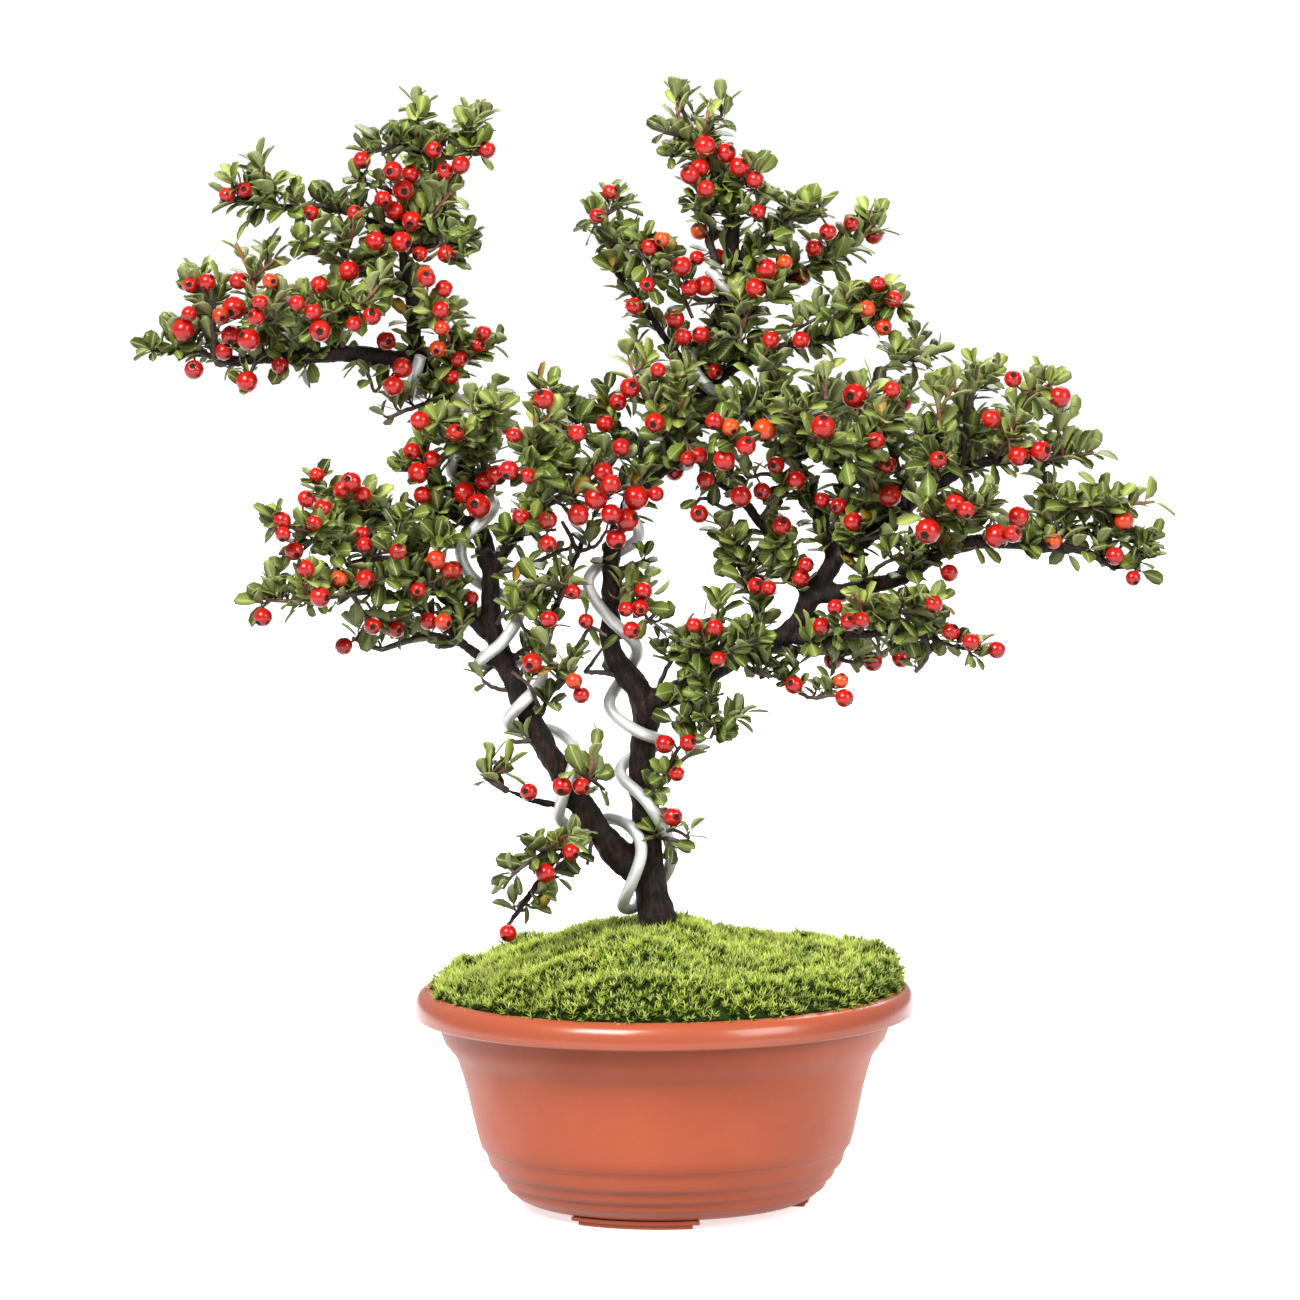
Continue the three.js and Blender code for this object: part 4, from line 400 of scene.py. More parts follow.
# Leafy sprays: the drawing points of each one's shoots
SPRAYS = {
    "column_head": [
        [[412, 165, 2], [427, 154, -2], [462, 146, -7], [471, 124, -8], [470, 102, -8]],
        [[462, 146, -7], [497, 160, -15]], [[471, 124, -8], [488, 108, -4]],
        [[427, 154, -2], [414, 132, -5], [416, 108, -5]],
        [[427, 154, -2], [395, 146, -8], [372, 152, -14], [348, 144, -16]]],
    "column_side": [
        [[403, 228, 3], [432, 215, -8], [452, 192, -13], [468, 182, -14]],
        [[432, 215, -8], [446, 245, -10], [474, 238, -10]], [[446, 245, -10], [454, 276, -8]],
        [[432, 215, -8], [425, 205, 16], [416, 172, 28]], [[425, 205, 16], [436, 240, 30]]],
    "top_left": [
        [[348, 213, -4], [324, 206, -6], [298, 208, -7], [266, 204, -9], [240, 201, -10],
         [214, 205, -12]],
        [[266, 204, -9], [264, 164, -7]], [[298, 208, -7], [291, 178, -4]],
        [[240, 201, -10], [232, 166, -13]]],
    "left_twig": [
        [[409, 290, 2], [372, 272, -5], [340, 264, -8], [316, 250, -11], [318, 218, -10]],
        [[316, 250, -11], [290, 234, -16]], [[340, 264, -8], [352, 236, -18], [352, 208, -20]],
        [[372, 272, -5], [382, 250, -16], [376, 226, -20]]],
    "pad_tip": [
        [[212, 357, -8], [184, 346, -10], [160, 352, -12], [137, 342, -14]],
        [[184, 346, -10], [156, 328, -16]],
        [[184, 346, -10], [206, 320, -6], [210, 298, -4], [188, 262, -4]],
        [[210, 298, -4], [180, 280, 2]], [[210, 298, -4], [226, 272, -10]]],
    "pad_front": [
        [[262, 358, -10], [256, 318, -12], [252, 280, -11], [228, 228, -11]],
        [[252, 280, -11], [286, 250, -18]], [[256, 318, -12], [276, 318, -28], [272, 286, -32]]],
    "pad_centre": [
        [[344, 353, -6], [334, 316, -14], [310, 288, -20]],
        [[334, 316, -14], [366, 300, -26], [390, 270, -26]], [[334, 316, -14], [316, 332, -32]],
        [[334, 316, -14], [346, 280, 0], [352, 262, 8]]],
    "pad_back": [
        [[300, 356, -8], [298, 336, 14], [318, 312, 28], [354, 300, 34]],
        [[298, 336, 14], [262, 318, 30]], [[318, 312, 28], [296, 286, 36]],
        [[298, 336, 14], [244, 344, 14]]],
    "fork_right": [
        [[432, 380, 1], [458, 366, -6], [490, 340, -9]],
        [[458, 366, -6], [446, 332, -12], [434, 300, -12]], [[446, 332, -12], [420, 284, -22]],
        [[446, 332, -12], [448, 310, 14]]],
    "left_cluster": [
        [[424, 462, -9], [408, 470, -14], [386, 470, -16]],
        [[424, 462, -9], [428, 432, -12], [408, 416, -12]], [[428, 432, -12], [448, 416, -22]]],
    "left_tip": [
        [[391, 517, -14], [368, 521, -14], [340, 517, -12], [322, 494, -12], [316, 462, -14]],
        [[368, 521, -14], [362, 492, -20], [366, 468, -22]],
        [[340, 517, -12], [322, 532, -26], [294, 528, -30], [260, 512, -30]],
        [[322, 532, -26], [290, 562, -24]], [[368, 521, -14], [352, 520, 10], [316, 520, 18]]],
    "left_long": [
        [[386, 590, -24], [352, 594, -26], [308, 600, -28], [270, 600, -28], [246, 592, -28]],
        [[270, 600, -28], [276, 562, -22]], [[308, 600, -28], [300, 576, -38]],
        [[352, 594, -26], [366, 622, -16], [352, 642, -4]],
        [[366, 622, -16], [398, 622, -10], [418, 642, -4]]],
    "clump_left": [
        [[467, 474, 1], [478, 452, -12], [485, 424, -18], [492, 392, -18]],
        [[478, 452, -12], [452, 436, -24]], [[485, 424, -18], [466, 402, -24]],
        [[485, 424, -18], [508, 404, -26]], [[478, 452, -12], [484, 440, 14], [498, 414, 24]]],
    "clump_front": [
        [[558, 474, -12], [544, 456, -24], [536, 428, -30], [532, 400, -28]],
        [[544, 456, -24], [518, 448, -34]], [[536, 428, -30], [558, 412, -36]],
        [[544, 456, -24], [524, 482, -38]]],
    "clump_top": [
        [[551, 404, -12], [543, 394, -14], [530, 380, -14]],
        [[543, 394, -14], [574, 418, -8], [600, 430, -8]], [[574, 418, -8], [590, 450, -16]]],
    "crown": [
        [[734, 214, -2], [726, 190, -3], [704, 156, -3], [684, 136, -5], [678, 112, -5], [672, 90, -5]],
        [[684, 136, -5], [648, 130, -11]], [[704, 156, -3], [658, 154, -2]],
        [[704, 156, -3], [706, 122, -12], [716, 92, -10]], [[706, 122, -12], [732, 112, -10]],
        [[726, 190, -3], [752, 178, -10], [778, 170, -12]],
        [[752, 178, -10], [758, 206, -10], [748, 238, -12]],
        [[726, 190, -3], [700, 202, -12], [682, 222, -10]],
        [[726, 190, -3], [722, 176, 18], [700, 148, 24]]],
    "grey_tip": [
        [[616, 272, -4], [608, 240, -6], [606, 214, -6], [600, 182, -6]],
        [[606, 214, -6], [582, 222, -12]], [[606, 214, -6], [628, 202, -2]],
        [[608, 240, -6], [640, 248, -10], [652, 228, -14]], [[640, 248, -10], [678, 246, -12]],
        [[640, 248, -10], [652, 280, -16], [650, 304, -14]]],
    "leader_front": [
        [[688, 428, 5], [678, 422, -14], [683, 396, -20], [677, 362, -20]],
        [[678, 422, -14], [650, 404, -16], [634, 374, -12], [624, 342, -10]],
        [[634, 374, -12], [658, 348, -14]], [[678, 422, -14], [652, 448, -18]],
        [[678, 422, -14], [692, 454, -22]]],
    "leader_right": [
        [[716, 346, 6], [738, 338, -4], [749, 312, -8], [762, 300, -10], [798, 288, -12]],
        [[749, 312, -8], [732, 286, -14]], [[738, 338, -4], [748, 362, -8]],
        [[738, 338, -4], [708, 336, -12]]],
    "upper_right": [
        [[790, 219, -8], [808, 216, -11], [836, 206, -13]], [[790, 219, -8], [788, 198, -6]],
        [[808, 216, -11], [816, 192, -15]], [[790, 219, -8], [796, 242, -16]]],
    "upper_right_tip": [
        [[726, 295, 3], [780, 279, 8], [822, 260, 6], [860, 239, 6], [873, 226, 6], [883, 204, 6]],
        [[873, 226, 6], [862, 198, 0]], [[822, 260, 6], [846, 262, -4]], [[822, 260, 6], [836, 232, 16]]],
    "shelf": [
        [[866, 322, -9], [872, 308, -14], [884, 294, -14], [874, 272, -14]],
        [[872, 308, -14], [846, 308, -18], [814, 320, -16], [784, 338, -20]],
        [[846, 308, -18], [836, 284, -16]], [[884, 294, -14], [910, 314, -14]]],
    "canopy_left": [
        [[757, 395, -6], [746, 412, -18], [722, 436, -24], [698, 440, -24]],
        [[757, 395, -6], [758, 370, -14]], [[722, 436, -24], [742, 450, -32]],
        [[758, 370, -14], [790, 366, -18]]],
    "canopy_front": [
        [[797, 466, 0], [800, 440, -16], [792, 414, -24], [776, 396, -26]],
        [[792, 414, -24], [826, 400, -28]], [[826, 400, -28], [828, 372, -24], [846, 346, -22]],
        [[800, 440, -16], [834, 438, -34]]],
    "canopy_mid": [
        [[880, 528, -10], [872, 484, -18], [868, 440, -20], [866, 404, -18], [882, 370, -16]],
        [[866, 404, -18], [850, 370, -12]], [[868, 440, -20], [894, 412, -30]],
        [[882, 370, -16], [912, 350, -14]], [[868, 440, -20], [838, 464, -32]]],
    "canopy_shoot": [
        [[935, 487, -13], [936, 446, -20], [939, 412, -22], [928, 374, -22]],
        [[939, 412, -22], [964, 368, -22]], [[936, 446, -20], [912, 426, -28]],
        [[936, 446, -20], [926, 476, -38]]],
    "canopy_right": [
        [[994, 461, -12], [974, 424, -6], [972, 392, -4], [980, 354, -4]],
        [[972, 392, -4], [1006, 358, -4]],
        [[994, 461, -12], [1012, 428, -20], [1028, 396, -20], [1048, 360, -18]],
        [[1028, 396, -20], [1068, 376, -24]]],
    "canopy_tip": [
        [[1030, 462, -12], [1064, 457, -13], [1112, 450, -13]],
        [[1064, 457, -13], [1060, 424, -10], [1088, 418, -8]], [[1060, 424, -10], [1048, 404, 6]]],
    "arm_tip": [
        [[1092, 532, -6], [1118, 536, -6], [1136, 542, -2], [1164, 538, 2]],
        [[1118, 536, -6], [1110, 508, -12], [1134, 504, -8], [1170, 500, -4]],
        [[1110, 508, -12], [1090, 472, -12]], [[1110, 508, -12], [1066, 506, -16], [1040, 486, -16]],
        [[1136, 542, -2], [1138, 566, -10], [1150, 590, -12]]],
    "arm_front": [
        [[942, 551, -18], [934, 520, -30], [908, 510, -36]],
        [[934, 520, -30], [978, 510, -34], [992, 492, -32]], [[978, 510, -34], [1006, 526, -32]]],
    "canopy_back": [
        [[826, 446, 12], [812, 424, 22], [784, 406, 28], [752, 420, 30]],
        [[812, 424, 22], [848, 402, 30], [884, 396, 34], [920, 412, 38]],
        [[848, 402, 30], [862, 438, 44]]],
    "canopy_far": [
        [[964, 469, -12], [958, 452, 10], [944, 422, 22]],
        [[958, 452, 10], [996, 436, 20], [1030, 424, 20]], [[958, 452, 10], [930, 464, 30]],
        [[996, 436, 20], [1010, 472, 26]]],
    "upright_twig": [
        [[736, 556, 7], [752, 574, -2], [778, 578, -6]], [[752, 574, -2], [732, 584, -14]],
        [[736, 556, 7], [728, 534, -4], [706, 506, -2]]],
    "right_low": [
        [[859, 634, -20], [866, 612, -26], [844, 584, -32]],
        [[866, 612, -26], [900, 612, -28], [950, 594, -28]], [[900, 612, -28], [938, 620, -18]]],
    "limb_top": [
        [[702, 677, -6], [692, 652, -14], [702, 622, -14]], [[702, 622, -14], [728, 612, -14]],
        [[692, 652, -14], [728, 650, -22], [770, 634, -26]], [[692, 652, -14], [690, 640, 10]]],
    "limb_under": [
        [[682, 690, -3], [690, 712, -12], [718, 722, -16], [748, 710, -18]],
        [[690, 712, -12], [666, 730, -14]], [[718, 722, -16], [708, 744, -16]]],
    "leader_twig": [
        [[613, 600, -5], [636, 588, -12], [654, 564, -12]], [[636, 588, -12], [670, 606, -14]],
        [[636, 588, -12], [648, 620, -16], [666, 638, -16]]],
    "trunk_left": [
        [[506, 790, -18], [490, 776, -20], [474, 768, -21]], [[490, 776, -20], [492, 742, -20]],
        [[490, 776, -20], [520, 762, -22]]],
    "trunk_middle": [
        [[577, 797, -7], [590, 778, -18], [594, 752, -19], [610, 728, -18]],
        [[590, 778, -18], [562, 764, -24]], [[590, 778, -18], [610, 794, -18]]],
    "trunk_low": [
        [[572, 846, -12], [548, 850, -20], [520, 850, -24]],
        [[548, 850, -20], [512, 876, -26], [496, 902, -24]], [[548, 850, -20], [574, 828, -26]]],
    "grey_fork": [
        [[558, 602, -14], [566, 586, -20], [572, 560, -22]], [[566, 586, -20], [592, 604, -22]],
        [[566, 586, -20], [536, 584, -22], [504, 592, -20]]],
}

# Bunches of berries of the part
BUNCHES = (
    "column", "pad_left", "pad_right", "left_tip", "left_low", "left_inner", "clump", "leader_mid", "crown",
    "leader_top", "shelf", "canopy", "arm", "right_low",
)


# Sizes and colours that a user would change
def length_setting(label, description, millimetres):
    return FloatProperty(name=label, description=description, default=millimetres * MM, unit="LENGTH")


def colour_setting(label, description, value):
    return FloatVectorProperty(name=label, description=description, default=value, subtype="COLOR")


class BonsaiSettings(bpy.types.PropertyGroup):
    """Sizes and colours of the tree and its pot"""
    leaf_length: length_setting("Leaf length", "Length of a full-grown leaf", 11.4)
    leaf_width: length_setting("Leaf width", "Width of a full-grown leaf", 6.6)
    berry_radius: length_setting("Berry radius", "Radius of a usual berry", 3.6)
    wire_radius: length_setting("Wire radius", "Radius of the training wire", 2.3)
    spur_step: length_setting("Spur spacing", "Distance between leafy spurs on a shoot", 2.5)
    tuft_height: length_setting("Moss height", "Height of a tuft of moss", 6.4)
    tuft_density: IntProperty(
        name="Moss density", description="Tufts of moss on a square metre of its cushion", default=300000)
    seed: IntProperty(name="Seed", description="Start of every random choice", default=41)
    leaf_green: colour_setting("Leaf green", "Colour of full-grown leaves", (0.072, 0.105, 0.012))
    young_green: colour_setting("Young green", "Colour of the leaves at the tips", (0.42, 0.49, 0.1))
    berry_red: colour_setting("Berry red", "Colour of ripe berries", (0.42, 0.003, 0.002))
    moss_green: colour_setting("Moss green", "Colour of the tips of the moss", (0.46, 0.645, 0.032))
    bark_brown: colour_setting("Bark brown", "Colour of the old bark", (0.011, 0.006, 0.0045))
    pot_brown: colour_setting("Pot colour", "Colour of the pot's plastic", (0.49, 0.1, 0.042))


def settings():
    """The settings of this scene. Their lengths are in metres."""
    return bpy.context.scene.bonsai


def in_mm(length):
    return length / MM


# Drawing and space
FORWARD = Vector((0, math.cos(LOOK_DOWN), -math.sin(LOOK_DOWN)))
UP = Vector((0, math.sin(LOOK_DOWN), math.cos(LOOK_DOWN)))
EYE = AIM - FORWARD * EYE_DISTANCE


def on_ray(u, v, depth):
    """The point that the camera sees at a drawing point, at a true depth."""
    a, b = u - CENTRE, CENTRE - v
    right = a * math.cos(ROLL) + b * math.sin(ROLL)
    rise = b * math.cos(ROLL) - a * math.sin(ROLL)
    ray = FORWARD + UP * (rise / FOCAL) + Vector((right / FOCAL, 0, 0))
    return EYE + ray * ((depth - EYE.y) / ray.y)


def place(drawn):
    """A drawing point with its drawn depth, as a point in space."""
    u, v, depth = drawn
    past = max(abs(depth) - KNEE, 0)
    return on_ray(u, v, depth + math.copysign(past * (SPREAD - 1), depth))


def project(point):
    """Where the camera sees a point, in the drawing."""
    away = point - EYE
    scale = FOCAL / away.dot(FORWARD)
    a, b = away.x * scale, away.dot(UP) * scale
    u = a * math.cos(ROLL) - b * math.sin(ROLL)
    v = a * math.sin(ROLL) + b * math.cos(ROLL)
    return Vector((CENTRE + u, CENTRE - v))


def spline(points, step):
    """A smooth line through points. Gives (point, position), where position counts in given points."""
    ends = [points[0] * 2 - points[1], *points, points[-1] * 2 - points[-2]]
    line = []
    for i in range(len(points) - 1):
        p0, p1, p2, p3 = ends[i:i + 4]
        t1 = math.sqrt((p1 - p0).length)
        t2 = t1 + math.sqrt((p2 - p1).length)
        t3 = t2 + math.sqrt((p3 - p2).length)
        count = max(1, round((p2 - p1).length / step))
        for k in range(count):
            t = t1 + (t2 - t1) * k / count
            a1 = p0.lerp(p1, t / t1)
            a2 = p1.lerp(p2, (t - t1) / (t2 - t1))
            a3 = p2.lerp(p3, (t - t2) / (t3 - t2))
            b1 = a1.lerp(a2, t / t2)
            b2 = a2.lerp(a3, (t - t1) / (t3 - t1))
            line.append((b1.lerp(b2, (t - t1) / (t2 - t1)), i + k / count))
    line.append((points[-1].copy(), len(points) - 1))
    return line


def between(values, position):
    i = min(int(position), len(values) - 2)
    return values[i] + (values[i + 1] - values[i]) * (position - i)


def blend(a, b, share):
    return a + (b - a) * share


# Meshes
def in_scene(name, data):
    """A new object, in the scene."""
    made = bpy.data.objects.new(name, data)
    bpy.context.collection.objects.link(made)
    return made


def link(name, mesh):
    """A finished piece at the origin, riding on the one body."""
    piece = in_scene(name, mesh)
    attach(piece, "root")
    return piece


def mesh_of(name, corners, faces, edges=()):
    """A mesh in metres from corners in millimetres."""
    mesh = bpy.data.meshes.new(name)
    mesh.from_pydata([corner * MM for corner in corners], edges, faces)
    return mesh


def line_mesh(name, lines):
    """A mesh of edges. Each line is a list of points with the values that its nodes need."""
    corners, edges, values = [], [], {}
    for line in lines:
        first = len(corners)
        corners.extend(line["points"])
        edges.extend((i, i + 1) for i in range(first, len(corners) - 1))
        for key in line:
            if key != "points":
                values.setdefault(key, []).extend(line[key])
    mesh = mesh_of(name, corners, [], edges)
    for key, numbers in values.items():
        mesh.attributes.new(key, "FLOAT", "POINT").data.foreach_set("value", numbers)
    return mesh


def ring_corner(bm, radius, turn, height):
    """A corner at an angle from the front towards +X."""
    return bm.verts.new(Vector((radius * math.sin(turn), -radius * math.cos(turn), height)) * MM)


def turned(profile, segments):
    """A closed shape turned round +Z. The profile starts and ends on the axis."""
    bm = bmesh.new()
    rings = []
    for radius, height in profile:
        if radius == 0:
            rings.append([bm.verts.new((0, 0, height * MM))] * segments)
            continue
        turns = [k * math.tau / segments for k in range(segments)]
        rings.append([ring_corner(bm, radius, turn, height) for turn in turns])
    for low, high in zip(rings, rings[1:]):
        for k in range(segments):
            n = (k + 1) % segments
            corners = [low[k], low[n], high[n], high[k]]
            bm.faces.new(list(dict.fromkeys(corners)))
    bmesh.ops.recalc_face_normals(bm, faces=bm.faces)
    return bm


def finished(bm, name, smooth=True):
    """The mesh of a bmesh, which is freed."""
    mesh = bpy.data.meshes.new(name)
    bm.to_mesh(mesh)
    bm.free()
    if smooth:
        mesh.shade_smooth()
    else:
        mesh.shade_flat()
    return mesh


def with_modifiers(name, mesh, *makers):
    """A mesh after modifiers have changed it."""
    holder = in_scene(name, mesh)
    for maker in makers:
        maker(holder)
    bpy.context.view_layer.update()
    graph = bpy.context.evaluated_depsgraph_get()
    made = bpy.data.meshes.new_from_object(holder.evaluated_get(graph), depsgraph=graph)
    bpy.data.objects.remove(holder)
    made.name = name
    return made


def by_nodes(name, mesh, tree, **values):
    """A mesh after a tree of geometry nodes has changed it."""
    def add_tree(holder):
        modifier = holder.modifiers.new("Shape", "NODES")
        modifier.node_group = tree
        for socket in tree.interface.items_tree:
            key = socket.name.lower().replace(" ", "_")
            if socket.in_out == "INPUT" and key in values:
                modifier[socket.identifier] = values[key]
    return with_modifiers(name, mesh, add_tree)


# Node trees
class Nodes:
    """Adds nodes to a tree, with their settings and what goes into them."""

    def __init__(self, tree):
        self.tree = tree

    def add(self, kind, inputs=(), **traits):
        node = self.tree.nodes.new(kind)
        for key, value in traits.items():
            setattr(node, key, value)
        for key, value in dict(inputs).items():
            if isinstance(value, bpy.types.NodeSocket):
                self.tree.links.new(value, node.inputs[key])
            else:
                node.inputs[key].default_value = value
        return node

    def maths(self, operation, *values):
        return self.add("ShaderNodeMath", enumerate(values), operation=operation).outputs[0]

    def vector(self, operation, *values):
        node = self.add("ShaderNodeVectorMath", enumerate(values), operation=operation)
        return node.outputs["Vector"]

    def scaled(self, vector, factor):
        node = self.add("ShaderNodeVectorMath", {0: vector, "Scale": factor}, operation="SCALE")
        return node.outputs["Vector"]


def shape_tree(name, sockets):
    """An empty tree of geometry nodes with named inputs. Gives what adds its nodes, and its inputs."""
    tree = bpy.data.node_groups.new(name, "GeometryNodeTree")
    tree.interface.new_socket(name="Geometry", in_out="INPUT", socket_type="NodeSocketGeometry")
    tree.interface.new_socket(name="Geometry", in_out="OUTPUT", socket_type="NodeSocketGeometry")
    for label, kind, default in sockets:
        socket = tree.interface.new_socket(name=label, in_out="INPUT", socket_type="NodeSocket" + kind)
        if default is not None:
            socket.default_value = default
    nodes = Nodes(tree)
    return nodes, nodes.add("NodeGroupInput").outputs


def end_tree(nodes, geometry, material):
    """Real faces with a material end the tree."""
    real = nodes.add("GeometryNodeRealizeInstances", {"Geometry": geometry}).outputs[0]
    smooth = nodes.add("GeometryNodeSetShadeSmooth", {"Geometry": real}).outputs[0]
    painted = nodes.add("GeometryNodeSetMaterial", {"Geometry": smooth, "Material": material}).outputs[0]
    nodes.add("NodeGroupOutput", {"Geometry": painted})
    return nodes.tree


def random_value(nodes, low, high, seed):
    return nodes.add("FunctionNodeRandomValue", {"Min": low, "Max": high, "Seed": seed}).outputs["Value"]


def attribute(nodes, name, kind="FLOAT"):
    return nodes.add("GeometryNodeInputNamedAttribute", {"Name": name}, data_type=kind).outputs["Attribute"]


def stored(nodes, geometry, name, value, domain):
    inputs = {"Geometry": geometry, "Name": name, "Value": value}
    return nodes.add("GeometryNodeStoreNamedAttribute", inputs, data_type="FLOAT", domain=domain).outputs[0]


def turned_about_itself(nodes, standing, seed):
    """A rotation followed by a random turn about its own axis."""
    turn = nodes.add("FunctionNodeAxisAngleToRotation", {
        "Axis": (0, 0, 1), "Angle": random_value(nodes, 0.0, math.tau, seed)})
    return nodes.add("FunctionNodeRotateRotation", {"Rotation": standing, "Rotate By": turn.outputs[0]},
                     rotation_space="LOCAL").outputs[0]


@functools.cache
def stem_tree():
    """Round stems along the edges of a mesh, as thick as its points say."""
    nodes, given = shape_tree("Round stems", [("Sides", "Int", 6), ("Material", "Material", None)])
    curve = nodes.add("GeometryNodeMeshToCurve", {"Mesh": given["Geometry"]}).outputs[0]
    circle = nodes.add("GeometryNodeCurvePrimitiveCircle", {"Resolution": given["Sides"], "Radius": 1.0})
    stems = nodes.add("GeometryNodeCurveToMesh", {
        "Curve": curve, "Profile Curve": circle.outputs[0], "Scale": attribute(nodes, "thickness"),
        "Fill Caps": True}).outputs[0]
    return end_tree(nodes, stems, given["Material"])


@functools.cache
def leaf_tree():
    """Leaves in a spiral along the edges of a mesh, turned with their upper faces to the light."""
    nodes, given = shape_tree("Leafy shoots", [
        ("Leaf", "Object", None), ("Material", "Material", None), ("Seed", "Int", 0),
        ("Lift", "Float", LEAF_LIFT)])
    curve = nodes.add("GeometryNodeMeshToCurve", {"Mesh": given["Geometry"]}).outputs[0]
    even = nodes.add("GeometryNodeResampleCurve", {"Curve": curve}, mode="LENGTH")
    nodes.tree.links.new(attribute(nodes, "spacing"), even.inputs["Length"])
    points = nodes.add("GeometryNodeCurveToPoints", {"Curve": even.outputs[0]}, mode="EVALUATED").outputs
    seed = given["Seed"]
    index = nodes.add("GeometryNodeInputIndex").outputs[0]
    wobble = random_value(nodes, -0.5, 0.5, seed)
    spin = nodes.maths("ADD", nodes.maths("MULTIPLY", index, GOLDEN_ANGLE), wobble)
    outward = nodes.add("ShaderNodeVectorRotate", {
        "Vector": points["Normal"], "Axis": points["Tangent"], "Angle": spin},
        rotation_type="AXIS_ANGLE").outputs[0]
    openness = random_value(nodes, *LEAF_OPENNESS, nodes.maths("ADD", seed, 1))
    along = nodes.vector("ADD", points["Tangent"], nodes.scaled(outward, openness))
    light = nodes.add("ShaderNodeCombineXYZ", {"Z": given["Lift"]}).outputs[0]
    along = nodes.vector("NORMALIZE", nodes.vector("ADD", along, light))
    upper = nodes.vector("ADD", points["Tangent"], (0.0, -0.25, 1.0))
    lying = nodes.add("FunctionNodeAlignRotationToVector", {"Vector": along}, axis="Y").outputs[0]
    facing = nodes.add("FunctionNodeAlignRotationToVector", {"Rotation": lying, "Vector": upper},
                       axis="Z", pivot_axis="Y").outputs[0]
    size = nodes.maths("MULTIPLY", attribute(nodes, "size"),
                       random_value(nodes, *LEAF_SIZES, nodes.maths("ADD", seed, 2)))
    breadth = nodes.maths("MULTIPLY", size,
                          random_value(nodes, *LEAF_BREADTHS, nodes.maths("ADD", seed, 3)))
    fold = nodes.maths("MULTIPLY", size, random_value(nodes, *LEAF_FOLDS, nodes.maths("ADD", seed, 4)))
    scale = nodes.add("ShaderNodeCombineXYZ", {"X": breadth, "Y": size, "Z": fold}).outputs[0]
    leaf = nodes.add("GeometryNodeObjectInfo", {"Object": given["Leaf"]}).outputs["Geometry"]
    leaves = nodes.add("GeometryNodeInstanceOnPoints", {
        "Points": points["Points"], "Instance": leaf, "Rotation": facing, "Scale": scale}).outputs[0]
    tone = random_value(nodes, 0.0, 1.0, nodes.maths("ADD", seed, 5))
    return end_tree(nodes, stored(nodes, leaves, "tone", tone, "INSTANCE"), given["Material"])


@functools.cache
def scatter_tree():
    """Small things strewn over a surface and standing up from it, such as tufts and grains."""
    nodes, given = shape_tree("Strewn", [
        ("Thing", "Object", None), ("Material", "Material", None), ("Seed", "Int", 0),
        ("Density", "Float", 1000.0), ("Smallest", "Float", 0.6), ("Largest", "Float", 1.2),
        ("Lean", "Float", 0.3)])
    strewn = nodes.add("GeometryNodeDistributePointsOnFaces", {
        "Mesh": given["Geometry"], "Density": given["Density"], "Seed": given["Seed"]},
        distribute_method="RANDOM").outputs
    seed = given["Seed"]
    jitter = nodes.add("FunctionNodeRandomValue", {"Seed": seed}, data_type="FLOAT_VECTOR")
    jitter.inputs["Min"].default_value = (-1, -1, -1)
    jitter.inputs["Max"].default_value = (1, 1, 1)
    upright = nodes.vector("ADD", strewn["Normal"], (0.0, 0.0, 1.0))
    direction = nodes.vector("ADD", upright, nodes.scaled(jitter.outputs[0], given["Lean"]))
    standing = nodes.add("FunctionNodeAlignRotationToVector", {"Vector": direction}, axis="Z").outputs[0]
    rotation = turned_about_itself(nodes, standing, nodes.maths("ADD", seed, 1))
    size = random_value(nodes, given["Smallest"], given["Largest"], nodes.maths("ADD", seed, 2))
    thing = nodes.add("GeometryNodeObjectInfo", {"Object": given["Thing"]}).outputs["Geometry"]
    things = nodes.add("GeometryNodeInstanceOnPoints", {
        "Points": strewn["Points"], "Instance": thing, "Rotation": rotation, "Scale": size}).outputs[0]
    tone = random_value(nodes, 0.0, 1.0, nodes.maths("ADD", seed, 3))
    return end_tree(nodes, stored(nodes, things, "tone", tone, "INSTANCE"), given["Material"])


@functools.cache
def berry_tree():
    """A berry at each point of a mesh, its star turned the way that the point says."""
    nodes, given = shape_tree("Berries", [
        ("Berry", "Object", None), ("Material", "Material", None), ("Seed", "Int", 0)])
    standing = nodes.add("FunctionNodeAlignRotationToVector", {
        "Vector": attribute(nodes, "axis", "FLOAT_VECTOR")}, axis="Z").outputs[0]
    rotation = turned_about_itself(nodes, standing, given["Seed"])
    berry = nodes.add("GeometryNodeObjectInfo", {"Object": given["Berry"]}).outputs["Geometry"]
    berries = nodes.add("GeometryNodeInstanceOnPoints", {
        "Points": given["Geometry"], "Instance": berry, "Rotation": rotation,
        "Scale": attribute(nodes, "size")}).outputs[0]
    tone = random_value(nodes, 0.0, 1.0, nodes.maths("ADD", given["Seed"], 1))
    return end_tree(nodes, stored(nodes, berries, "tone", tone, "INSTANCE"), given["Material"])


# Materials
def material_nodes(name):
    """A new material, what adds its nodes, and the place of each of its points on the object."""
    material = bpy.data.materials.new(name)
    material.use_nodes = True
    material.node_tree.nodes.clear()
    nodes = Nodes(material.node_tree)
    return material, nodes, object_place(nodes)


